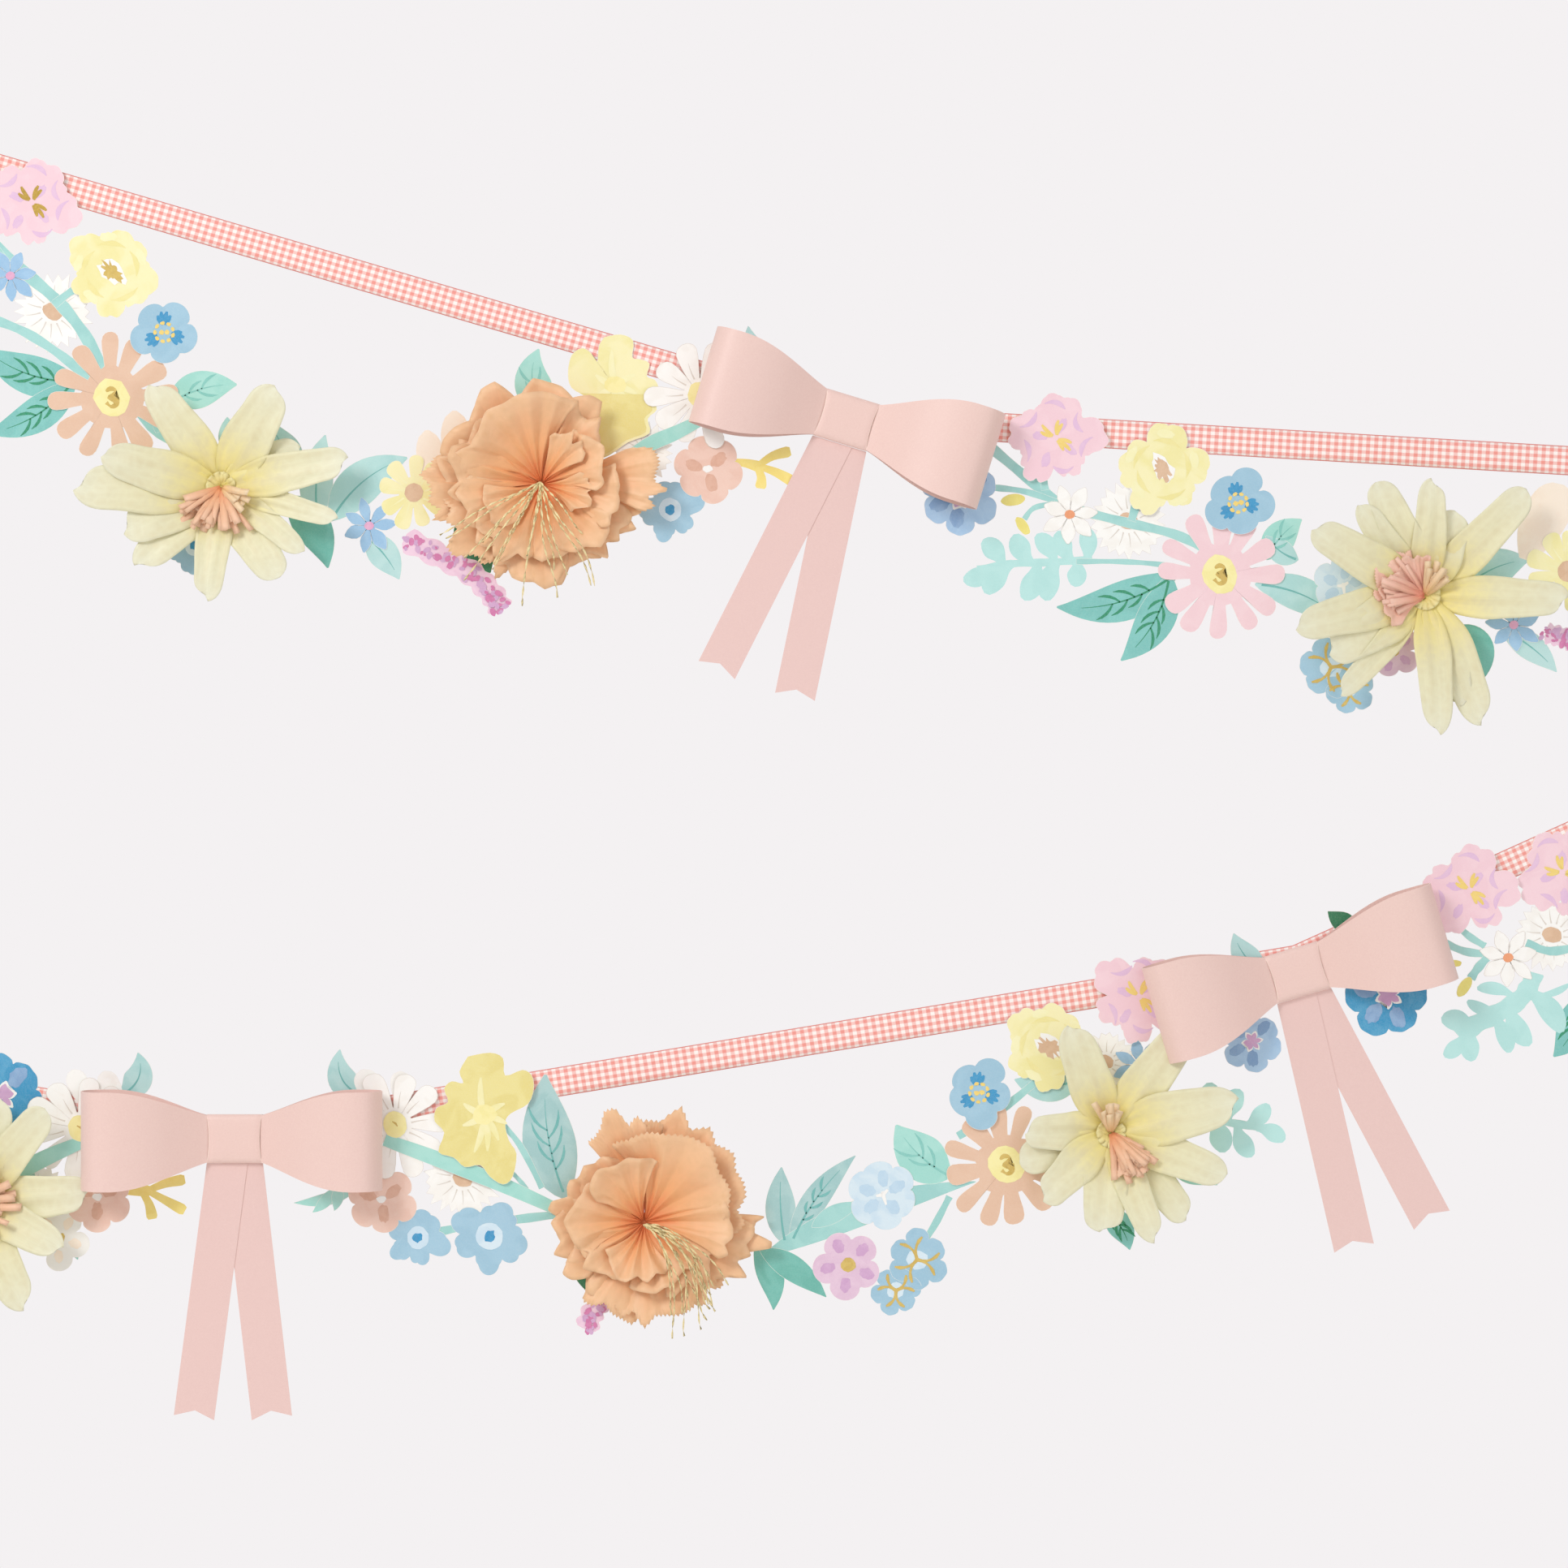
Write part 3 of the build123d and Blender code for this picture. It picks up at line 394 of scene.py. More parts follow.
def heading(before, after):
    """The way from one point to another, one long."""
    dx, dy = after[0] - before[0], after[1] - before[1]
    long = math.hypot(dx, dy) or 1
    return dx / long, dy / long


def headings(points):
    """The way a line runs at each of its points."""
    return [heading(before, after) for before, after in zip(points[:1] + points[:-1], points[1:] + points[-1:])]


class Seat:
    """Where a card lies: its middle, its turn in degrees, its front's height and its curl."""

    def __init__(self, middle, turn=0.0, height=0.0, curl=0.0):
        self.across, self.up = picture(*middle)
        self.cos, self.sin = math.cos(math.radians(turn)), math.sin(math.radians(turn))
        self.height, self.curl = height, curl

    def at(self, x, y, proud=0.0):
        """A point of the card in metres."""
        rise = self.height + proud + self.curl * (x * x + y * y) / CURL_REACH**2
        across = self.across + x * self.cos - y * self.sin
        up = self.up + x * self.sin + y * self.cos
        return Vector((across + LEFT, -RIBBON_FRONT - rise, up + TOP)) / 1000

    def raised(self, by):
        """The same seat, a little nearer the viewer."""
        over = copy.copy(self)
        over.height += by
        return over


FLAT = Seat((0, 0))


def anticlockwise(outline):
    """The outline, run the way round that faces the viewer."""
    area = sum(ax * by - bx * ay for (ax, ay), (bx, by) in zip(outline, outline[1:] + outline[:1]))
    return outline if area > 0 else outline[::-1]


def inset(outline, by):
    """The outline moved inwards, for the white border that the print leaves."""
    made = []
    for before, (x, y), after in zip(outline[-1:] + outline[:-1], outline, outline[1:] + outline[:1]):
        tx, ty = heading(before, after)
        made.append((x - ty * by, y + tx * by))
    return made


def petalled(radius, petals, profile, width, seed, vary=0.07):
    """Petals about a middle. profile: shares of the length, with the half width there."""
    chance = random.Random(seed)
    outline = []
    for petal in range(petals):
        turn = 2 * math.pi * petal / petals + chance.uniform(-0.05, 0.05)
        long = radius * (1 + chance.uniform(-vary, vary * 0.6))
        wide = width / 2 * (1 + chance.uniform(-0.12, 0.12))
        bend = chance.uniform(-0.06, 0.06)
        side = [(share * long, half * wide) for share, half in profile]
        for s, h in [(s, -h) for s, h in side] + side[::-1]:
            outline.append(spun(s, h + bend * s * s / long, turn))
    return outline


def lobed(radius, lobes, depth, seed, frill=0.0, vary=0.10, count=108):
    """Round lobes of uneven size, with a frill of small waves if wanted."""
    chance = random.Random(seed)
    sizes = [chance.uniform(-vary, vary) for _ in range(lobes)]
    cuts = [chance.uniform(-0.05, 0.06) for _ in range(lobes + 1)]
    cuts[lobes] = cuts[0]
    phase = chance.uniform(0, 6)
    outline = []
    for i in range(count):
        turn = 2 * math.pi * i / count
        along = (i * lobes / count) % 1
        lobe = int(i * lobes / count)
        bulge = math.sin(math.pi * along) ** 0.55
        notch = cuts[lobe] * (1 - along) + cuts[lobe + 1] * along
        r = 1 - depth + notch * (1 - bulge) + (depth + sizes[lobe]) * bulge
        r += frill * math.sin(turn * lobes * 3.0 + phase) * bulge
        outline.append(around(turn, r * radius))
    return outline


def frilled(radius, waves, seed, oval=1.0, count=150):
    """A frilled edge with narrow notches. waves: how many lobes, and how deep their notches are."""
    chance = random.Random(seed)
    starts = [chance.uniform(0, math.pi) for _ in waves]
    outline = []
    for i in range(count):
        turn = 2 * math.pi * i / count
        r = 1 + 0.06 * math.sin(turn * 2 + starts[0]) + 0.05 * math.sin(turn * 3 + starts[-1])
        for (lobes, depth), start in zip(waves, starts):
            bend = turn + 0.25 * math.sin(turn + start)
            r -= depth * (1 - abs(math.sin(bend * lobes / 2 + start)) ** 0.7)
        x, y = around(turn, r * radius)
        outline.append((x, y * oval))
    return outline


def sawn(radius, teeth, depth, seed):
    """Sharp uneven teeth."""
    chance = random.Random(seed)
    outline = []
    for tooth in range(teeth):
        turn = 2 * math.pi * tooth / teeth
        outline.append(around(turn, radius * (1 + chance.uniform(-0.12, 0.04))))
        outline.append(around(turn + math.pi / teeth * 0.9, radius * (1 - depth + chance.uniform(-0.06, 0.06))))
    return outline


def blob(x, y, across, up, turn=0.0, seed=1, count=18, rough=0.14):
    """A dab of a brush: an uneven oval."""
    chance = random.Random(seed)
    outline = []
    for i in range(count):
        step = 2 * math.pi * i / count
        size = 1 + chance.uniform(-rough, rough)
        a, b = spun(across * math.cos(step) * size, up * math.sin(step) * size, math.radians(turn))
        outline.append((x + a, y + b))
    return outline


def stroke(points, widths):
    """A brush stroke along some points, as wide at each as widths says."""
    left, right = [], []
    for (x, y), (tx, ty), width in zip(points, headings(points), widths):
        half = width / 2
        left.append((x - ty * half, y + tx * half))
        right.append((x + ty * half, y - tx * half))
    return right + left[::-1]


def bent(start, end, bend, count=9):
    """Points along a gentle bow between two places. bend is its height as a share of the way."""
    (ax, ay), (bx, by) = start, end
    dx, dy = bx - ax, by - ay
    points = []
    for i in range(count):
        s = i / (count - 1)
        side = 4 * bend * s * (1 - s)
        points.append((ax + dx * s - dy * side, ay + dy * s + dx * side))
    return points


def smooth(points, steps=4):
    """A smooth line through some points."""
    made = []
    ends = points[:1] + points + points[-1:]
    for four in zip(ends, ends[1:], ends[2:], ends[3:]):
        for s in (step / steps for step in range(steps)):
            cubic = ((2 * b, c - a, 2 * a - 5 * b + 4 * c - d, 3 * b - a - 3 * c + d) for a, b, c, d in zip(*four))
            made.append(tuple(0.5 * (p + q * s + r * s * s + t * s**3) for p, q, r, t in cubic))
    return made + [tuple(points[-1])]


def trail(places, steps=5):
    """A smooth line through some places of the picture."""
    return smooth([picture(*place) for place in places], steps)


# Meshes
def stand(name, data):
    """A new object in the scene."""
    piece = bpy.data.objects.new(name, data)
    bpy.context.scene.collection.objects.link(piece)
    return piece


class Pile:
    """Pieces of card or tissue that make one object: corners, their printed places, and faces."""

    def __init__(self):
        self.corners, self.prints, self.faces = [], [], []

    def cap(self, first, count, finish):
        """A flat face over corners that are there already."""
        self.faces.append((tuple(range(first, first + count)), finish, False))

    def face(self, points, finish, printed_at=(0.5, 0.5)):
        """A flat face."""
        self.corners += points
        self.prints += [printed_at] * len(points)
        self.cap(len(self.corners) - len(points), len(points), finish)

    def grid(self, rows, finish, prints=None, closed=False, soft=True, finish_of=None):
        """A sheet of rows of points that share their corners."""
        start, wide = len(self.corners), len(rows[0])
        for r, row in enumerate(rows):
            self.corners += row
            self.prints += prints[r] if prints else [(c / (wide - 1), r / (len(rows) - 1)) for c in range(wide)]
        for r in range(len(rows) - 1):
            for c in range(wide if closed else wide - 1):
                a, b = start + r * wide + c, start + r * wide + (c + 1) % wide
                self.faces.append(((a, b, b + wide, a + wide), finish_of(r) if finish_of else finish, soft))

    def card(self, seat, outline, finish, thick=CARD, rings=False, edge="card edge", rim=RIM):
        """A die-cut piece: its printed front, the white border and edge, and its plain back."""
        outline = anticlockwise(outline)
        inner = inset(outline, rim)
        front = [seat.at(x, y) for x, y in outline]
        print_edge = [seat.at(x, y) for x, y in inner]
        behind = [seat.at(x, y, -thick) for x, y in outline]
        if rings:
            for line, side, proud in ((inner, finish, 0.0), (outline[::-1], "plain card", -thick)):
                rows = [[seat.at(x * share, y * share, proud) for x, y in line] for share in RINGS]
                self.grid(rows, side, closed=True)
                self.face(rows[0], side)
        else:
            self.face(print_edge, finish)
            self.face(behind[::-1], "plain card")
        self.grid([print_edge, front], edge, closed=True, soft=False)
        self.grid([front, behind], edge, closed=True, soft=False)

    def flat_card(self, height, outline, finish, thick=THIN_CARD, **looks):
        """A card at a height, its outline already in millimetres of the picture."""
        self.card(Seat((0, 0), height=height), outline, finish, thick, **looks)

    def ink(self, seat, outline, finish, proud=INK):
        """A painted mark on a card's front."""
        self.face([seat.at(x, y, proud) for x, y in anticlockwise(outline)], finish)

    def build(self, name, body, replaces=(), slot="printed_card", thick=0.0):
        mesh = bpy.data.meshes.new(name)
        mesh.from_pydata([tuple(corner) for corner in self.corners], [], [corners for corners, _, _ in self.faces])
        layer = mesh.uv_layers.new(name="print")
        for loop in mesh.loops:
            layer.data[loop.index].uv = self.prints[loop.vertex_index]
        used = sorted({finish for _, finish, _ in self.faces})
        for finish in used:
            mesh.materials.append(FINISHES[finish])
        for polygon, (_, finish, soft) in zip(mesh.polygons, self.faces):
            polygon.material_index = used.index(finish)
            polygon.use_smooth = soft
        piece = stand(name, mesh)
        if thick:
            paper = piece.modifiers.new("paper", "SOLIDIFY")
            paper.thickness = thick / 1000
            paper.offset = 0
        if body:
            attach(piece, body)
        if replaces:
            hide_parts(*replaces)
        return piece


# Printed flowers. Petal profiles: shares of the length, with the half width there.
DAISY = [(0.4, 0.62), (0.55, 0.8), (0.72, 0.96), (0.85, 1.0), (0.92, 0.88), (0.97, 0.62), (1.0, 0.24)]
LONG_DAISY = [(0.3, 0.5), (0.5, 0.74), (0.7, 0.95), (0.84, 1.0), (0.92, 0.86), (0.97, 0.58), (1.0, 0.22)]
JOINED = [(0.48, 0.7), (0.6, 0.8), (0.76, 0.97), (0.87, 1.0), (0.94, 0.86), (0.98, 0.58), (1.0, 0.22)]
POINTED = [(0.2, 0.42), (0.45, 0.92), (0.62, 1.0), (0.8, 0.74), (0.94, 0.34), (1.0, 0.16)]
# Frilled edges: how many waves, and how deep
PEONY_EDGE = [(5, 0.3), (13, 0.11), (27, 0.03)]
ROSE_EDGE = [(5, 0.27), (11, 0.1), (23, 0.02)]
# Hundredths of the blossom's width, from its middle
BLOSSOM_EDGES = {
    "slim": [
        (-12, 54), (6, 57), (20, 50), (19, 32), (27, 30), (38, 25), (35, 11), (44, 7), (48, -4), (42, -14),
        (46, -26), (36, -36), (38, -52), (14, -62), (-6, -76), (-20, -80), (-30, -74), (-34, -60), (-26, -44),
        (-26, -26), (-32, -12), (-48, -2), (-52, 14), (-48, 34), (-36, 42), (-26, 36), (-20, 26), (-18, 44),
    ],
    "broad": [
        (-17, 62), (6, 66), (20, 60), (22, 42), (40, 48), (50, 42), (52, 28), (46, 12), (28, 2), (22, -8),
        (26, -26), (34, -40), (30, -64), (20, -72), (6, -64), (-4, -52), (-20, -54), (-32, -44), (-48, -38),
        (-42, -18), (-52, -6), (-50, 8), (-38, 14), (-42, 28), (-34, 36), (-22, 34), (-26, 46),
    ],
}
# The daisies' brushed swirl, petal lines (turn, reach, bend) and stamens (turn, length)
SWIRL = [
    (-0.08, 0.10), (-0.01, 0.14), (0.07, 0.10), (0.02, 0.03), (-0.05, 0.0), (0.03, -0.04), (0.10, -0.02),
    (0.07, -0.11), (-0.02, -0.14), (-0.09, -0.07),
]
PEONY_LINES = [(20, 0.62, 0.5), (75, 0.66, -0.4), (130, 0.7, 0.4), (200, 0.68, 0.3), (285, 0.62, -0.5), (335, 0.7, 0.4)]
ROSE_LINES = [(10, 0.55, 0.35), (80, 0.60, 0.3), (150, 0.58, 0.35), (215, 0.55, 0.3), (290, 0.62, 0.35)]
STAMENS = [(118, 0.34), (140, 0.28), (62, 0.32), (45, 0.28), (-35, 0.30), (-58, 0.36), (-75, 0.26)]


class Bloom:
    """A flower being drawn on its seat, most of it in shares of its radius."""

    def __init__(self, pile, seat, radius, seed):
        self.pile, self.seat, self.radius, self.seed = pile, seat, radius, seed

    def at(self, turn, reach):
        return around(turn, self.radius * reach)

    def petals(self, outline, finish, **looks):
        self.pile.card(self.seat, outline, finish, rings=True, **looks)

    def oval(self, long, wide, turn=0, count=18, rough=0.14, place=(0, 0), seed=0):
        return blob(*place, self.radius * long, self.radius * wide, turn, self.seed + seed, count, rough)

    def dab(self, finish, proud, *shape, **more):
        self.pile.ink(self.seat, self.oval(*shape, **more), finish, proud)

    def dabs(self, finish, turns, reach, long, wide):
        """Dabs that point outwards, at some turns in degrees."""
        for turn in turns:
            self.dab(finish, INK, long, wide, turn, place=self.at(math.radians(turn), reach), seed=turn)

    def line(self, points, widths, finish, proud=INK):
        self.pile.ink(self.seat, stroke(points, widths), finish, proud)

    def veins(self, count, far, lean, widths, finish, first=0.0):
        """A thin line on each petal."""
        for i in range(count):
            a = 2 * math.pi * i / count + first
            self.line(bent(self.at(a, 0.3), self.at(a + lean, far), 0.03, 4), widths, finish)


def peony(bloom, stamens="yellow dot"):
    """Frilled pink petals, mauve petal lines and a few stamens."""
    bloom.petals(frilled(bloom.radius * 1.07, PEONY_EDGE, bloom.seed), "pink petal")
    chance = random.Random(bloom.seed)
    for turn, reach, bend in PEONY_LINES:
        a = math.radians(turn + chance.uniform(-12, 12))
        line = bent(bloom.at(a - 0.35, reach), bloom.at(a + 0.30, reach + 0.12), bend * 0.5)
        bloom.line(line, [0.4, 1.6, 2.4, 2.8, 2.6, 2.2, 1.6, 1.0, 0.4], "mauve stroke")
    for turn, reach in ((50, 0.30), (160, 0.34), (235, 0.52), (310, 0.40)):
        bloom.dabs("mauve stroke", [turn], reach, 0.17, 0.09)
    for turn, long in STAMENS:
        line = bent(bloom.at(math.radians(turn), 0.07), bloom.at(math.radians(turn + 6), 0.07 + long), 0.06, 5)
        bloom.line(line, [0.8, 1.6, 2.0, 1.9, 1.0], stamens, INK * 2)


def rose(bloom, heart="ochre swirl"):
    """Soft yellow petals folded round a brushed heart."""
    bloom.petals(frilled(bloom.radius, ROSE_EDGE, bloom.seed, 1.08), "yellow petal")
    for turn, reach, bend in ROSE_LINES:
        a = math.radians(turn)
        line = bent(bloom.at(a - 0.55, reach), bloom.at(a + 0.5, reach * 1.08), -bend * 0.4)
        bloom.line(line, [0.3, 1.0, 1.8, 2.6, 3.0, 2.6, 1.8, 1.0, 0.3], "yellow shade")
        bloom.dab("yellow light", INK, 0.10, 0.20, turn, place=bloom.at(a + 0.1, reach + 0.16), seed=turn)
    bloom.dab("white ink", INK * 1.5, 0.20, 0.36, 40, 15, 0.3)
    bloom.dab(heart, INK * 2, 0.16, 0.26, 35, 26, 0.42, seed=3)


def pansy(bloom):
    """Five round petals, three brushed marks and a dotted ring."""
    bloom.petals(lobed(bloom.radius, 5, 0.26, bloom.seed), "blue petal")
    for turn in (70, 190, 318):
        for spread in (-22, -8, 8, 22):
            start = bloom.at(math.radians(turn + spread * 0.4), 0.22)
            end = bloom.at(math.radians(turn + spread), 0.66 - abs(spread) * 0.006)
            bloom.line(bent(start, end, 0.04, 4), [1.2, 2.4, 2.6, 1.0], "bright stroke")
    for dot in range(9):
        bloom.dab("yellow dot", INK * 2, 0.075, 0.055, dot * 40 + 90, 9, place=bloom.at(dot * 0.7, 0.27), seed=dot)
    for x, y in ((-0.07, 0.02), (0.08, -0.03)):
        bloom.dab("yellow dot", INK * 2, 0.08, 0.08, 0, 9, place=(x * bloom.radius, y * bloom.radius))


def large_daisy(bloom, petal):
    """Twelve long petals and a butter-yellow centre with a swirl."""
    bloom.petals(petalled(bloom.radius, 12, JOINED, bloom.radius * 0.30, bloom.seed), petal)
    bloom.dab("butter centre", INK, 0.27, 0.31, 25, 14, 0.06)
    line = smooth([(x * bloom.radius, y * bloom.radius) for x, y in SWIRL], 3)
    bloom.line(line, [1.0 + 1.5 * abs(math.sin(i * 0.5)) for i in range(len(line))], "ochre swirl", INK * 2)


def white_daisy(bloom):
    """Ten white petals round a yellow button."""
    outline = petalled(bloom.radius, 10, LONG_DAISY, bloom.radius * 0.38, bloom.seed, 0.10)
    # The grey rim is partly the cut edge and partly painted shadow round the raised white card.
    bloom.petals(outline, "white petal", edge="white shade", rim=0.2)
    bloom.veins(10, 0.62, 0.03, [0.9, 0.6, 0.4, 0.1], "white shade")
    button = Bloom(bloom.pile, bloom.seat.raised(0.5), bloom.radius, bloom.seed)
    button.petals(button.oval(0.22, 0.25, 0, 16, 0.05), "butter centre", rim=0.1)
    button.line([(-1.2, 1.6), (0.4, 0.4), (1.2, -1.2)], [0.5, 1.1, 0.4], "ochre swirl")


def yellow_daisy(bloom):
    """Nine rounded yellow petals and a tan centre."""
    bloom.petals(petalled(bloom.radius, 9, DAISY, bloom.radius * 0.44, bloom.seed, 0.08), "yellow petal")
    bloom.veins(9, 0.7, 0.05, [1.0, 0.8, 0.5, 0.1], "yellow light")
    bloom.dab("tan centre", INK * 2, 0.25, 0.25, 0, 18, 0.04)


def star(bloom, petal="star petal", dot="pink dot"):
    """Seven pointed petals round a dot."""
    # On white stars the grey rim is partly the cut edge and partly painted shadow round the raised card.
    looks = {"edge": "white shade", "rim": 0.2} if petal == "white petal" else {}
    bloom.petals(petalled(bloom.radius, 7, POINTED, bloom.radius * 0.46, bloom.seed, 0.10), petal, **looks)
    bloom.dab(dot, INK * 2, 0.17, 0.15, 0, 16, 0.04)


def cornflower(bloom):
    """A saw-edged white flower with drawn veins and a tan centre."""
    # The grey rim is partly the cut edge and partly painted shadow round the raised white card.
    bloom.petals(sawn(bloom.radius, 22, 0.24, bloom.seed), "white petal", edge="white shade", rim=0.2)
    bloom.veins(14, 0.66, 0.04, [0.8, 0.5, 0.4, 0.1], "white shade", 0.1)
    bloom.dab("tan centre", INK * 2, 0.26, 0.2, -30, 16, 0.06)


def blossom(bloom, edge="slim", petal="yellow petal"):
    """A big yellow blossom with pale brushed rays."""
    size = bloom.radius * 2 / 100
    outline = [(x * size, y * size) for x, y in BLOSSOM_EDGES[edge]]
    outline = smooth(outline + outline[:1], 3)[:-1]
    bloom.petals(outline, petal)
    light = "yellow petal"
    if edge == "slim":
        light = "yellow light"
        shade = [(x * 0.90 - 0.2, y * 0.92 - 1.2) for x, y in outline if y < -0.10 * bloom.radius]
        bloom.pile.ink(bloom.seat, shade, "ripe petal")
    for turn, long in ((95, 0.8), (30, 0.5), (150, 0.5), (205, 0.5), (255, 0.8), (275, 0.75), (300, 0.6), (340, 0.5)):
        line = bent((0, 0), bloom.at(math.radians(turn), long), 0.05, 6)
        bloom.line(line, [1.6, 2.8, 3.4, 3.2, 2.4, 1.0], light, INK * 1.5)
    bloom.dab("butter centre", INK * 2, 0.25, 0.2, 0, 9, 0.16, (0, 0.5))


def ringed_blue(bloom):
    """A small blue flower with a pale ring and a blue heart."""
    bloom.petals(frilled(bloom.radius * 1.06, [(5, 0.34), (8, 0.10)], bloom.seed), "blue petal")
    bloom.dab("ice petal", INK, 0.36, 0.38, 0, 18, 0.05)
    bloom.dab("bright stroke", INK * 2, 0.17, 0.15, 30, 12, 0.22)


def anemone(bloom):
    """A blue flower with a pale heart and long gold stamens."""
    bloom.petals(lobed(bloom.radius, 6, 0.24, bloom.seed, 0.01, 0.08), "blue petal")
    bloom.dab("ice petal", INK, 0.36, 0.32, 0, 14, 0.10)
    for stamen in range(6):
        line = bent((0, 0), bloom.at(stamen * 1.05 + 0.3, 0.76), 0.16 if stamen % 2 else -0.18, 6)
        bloom.line(line, [2.0, 1.5, 1.2, 1.3, 1.9, 0.9], "ochre swirl", INK * 2 + stamen * 0.006)


def violet(bloom, petal="violet petal", mark="violet mark"):
    """Five lilac petals round a gold heart."""
    bloom.petals(lobed(bloom.radius, 5, 0.34, bloom.seed), petal)
    bloom.dabs(mark, range(36, 396, 72), 0.60, 0.22, 0.16)
    bloom.dab("ochre swirl", INK * 2, 0.22, 0.19, 0, 11, 0.2)


def ice_blossom(bloom):
    """A very pale blue blossom with soft marks and a white heart."""
    radius = bloom.radius
    bloom.petals(lobed(radius, 6, 0.18, bloom.seed, 0, 0.06), "ice petal")
    bloom.dabs("ice mark", (80, 155, 215, 300, 20), 0.46, 0.24, 0.17)
    bloom.line([(-0.2 * radius, 0), (0, 0), (0.16 * radius, 0.12 * radius)], [1.2, 2.2, 1.2], "white ink", INK * 2)
    bloom.line([(0, 0.1 * radius), (0, 0), (0.04 * radius, -0.3 * radius)], [1.4, 2.2, 1.0], "white ink", INK * 2)


def salmon_pansy(bloom):
    """A salmon flower with brown wedges and a white eye."""
    bloom.petals(lobed(bloom.radius, 6, 0.20, bloom.seed, 0, 0.08), "salmon petal")
    bloom.dabs("salmon mark", (150, 270, 25), 0.42, 0.26, 0.17)
    bloom.dab("white ink", INK * 2, 0.14, 0.11, 0, 12, 0.2)


def bright_blossom(bloom, petal="azure petal", mark="steel petal"):
    """A bright blue blossom with a violet star at its heart."""
    bloom.petals(lobed(bloom.radius, 6, 0.24, bloom.seed, 0.01), petal)
    bloom.dabs(mark, (40, 140, 200, 262), 0.56, 0.26, 0.18)
    centre = petalled(bloom.radius * 0.36, 6, POINTED, bloom.radius * 0.2, bloom.seed)
    bloom.pile.ink(bloom.seat, centre, "white ink", INK * 1.5)
    bloom.pile.ink(bloom.seat, [(x * 0.8, y * 0.8) for x, y in centre], "violet mark", INK * 2)


FLOWERS = (
    peony, rose, pansy, large_daisy, white_daisy, yellow_daisy, star, cornflower, blossom, ringed_blue, anemone, violet,
    ice_blossom, salmon_pansy, bright_blossom,
)
KINDS = {flower.__name__: flower for flower in FLOWERS}

# Leaves: finish, vein finish, bend, vein pairs
LEAVES = {
    "dark": ("teal leaf", "vein green", 0.1, 3),
    "mint": ("mint leaf", "mint stroke", 0.08, 2),
    "plain": ("mint leaf", None, 0.06, 0),
    "aqua": ("aqua leaf", "soft vein", 0.1, 0),
    "pale": ("pale leaf", "soft vein", 0.06, 0),
    "teal": ("deep leaf", None, 0.1, 0),
    "grey": ("grey leaf", "soft vein", 0.04, 0),
    "veined": ("grey leaf", "soft vein", 0.06, 3),
    "forest": ("forest leaf", None, 0.06, 0),
    "strap": ("mint stem", None, 0.04, 0),
    "cream": ("cream petal", None, 0.05, 0),
    "white": ("white petal", None, 0.05, 0),
    "deep": ("deep leaf", None, 0.05, 0),
}
LEAF_STEPS = 16
ROUND_TIPS = ("cream", "white")


def leaf_width(s, round_tip):
    """How wide a leaf is at a share of its length."""
    if round_tip:
        return math.sin(math.pi / 2 * min(s / 0.7 + 0.2, 1)) * max(1 - max(s - 0.7, 0) ** 2 / 0.09, 0.02) ** 0.5
    return max(math.sin(math.pi * s**0.85), 0.03) ** 0.85


def leaf(pile, style, foot, tip, width, height, bend=None):
    """A leaf from foot to tip, with its midrib and side strokes."""
    finish, vein, usual_bend, pairs = LEAVES[style]
    wide = width * PIXEL
    line = bent(picture(*foot), picture(*tip), usual_bend if bend is None else bend, LEAF_STEPS + 1)
    widths = [wide * leaf_width(i / LEAF_STEPS, style in ROUND_TIPS) for i in range(LEAF_STEPS + 1)]
    pile.flat_card(height, stroke(line, widths), finish)
    if not vein:
        return
    seat = Seat((0, 0), height=height)
    pile.ink(seat, stroke(line[1:14], [1.3 - i * 0.09 for i in range(13)]), vein)
    (ax, ay), (bx, by) = line[0], line[-1]
    turn = math.atan2(by - ay, bx - ax)
    for pair in range(pairs):
        i = 4 + pair * 7 // pairs
        for side in (-1, 1):
            x, y = line[i + (side > 0)]
            dx, dy = around(turn + side * 0.50, widths[i] * 0.30 * 1.9)
            pile.ink(seat, stroke(bent((x, y), (x + dx, y + dy), 0.12 * side, 5), [0.8, 1.2, 1.6, 1.3, 0.3]), vein)


def stem(pile, places, width, height, finish="mint stem"):
    """A flat stem through some places of the picture."""
    line = trail(places)
    widths = [width * PIXEL * (1 + 0.10 * math.sin(i * 1.3)) for i in range(len(line))]
    pile.flat_card(height, stroke(line, widths), finish)


def branch(pile, spine, leaflets, width, height):
    """A mint frond cut in one piece: a stem with rounded fingers."""
    stem(pile, spine, width, height, "branch mint")
    shares = (0.36, 0.40, 0.50, 0.66, 0.82, 0.94, 1.0, 1.0, 0.94, 0.82, 0.62, 0.24)
    for i, (foot, tip, wide) in enumerate(leaflets):
        line = bent(picture(*foot), picture(*tip), 0.10 if i % 2 else -0.10, len(shares))
        outline = stroke(line, [wide * PIXEL * share for share in shares])
        pile.flat_card(height + 0.02 + i * 0.006, outline, "branch mint", 0.2, rim=0.03, edge="branch mint")


def sprig(pile, strokes, height):
    """A yellow sprig cut in one piece, like coral."""
    for i, places in enumerate(strokes):
        line = trail(places, 4)
        shares = [k / (len(line) - 1) for k in range(len(line))]
        widths = [PIXEL * (8 + 8 * s**1.5 * (1 - max(s - 0.85, 0) * 5)) for s in shares]
        pile.flat_card(height + i * 0.01, stroke(line, widths), "sprig yellow", rim=0.03, edge="sprig yellow")


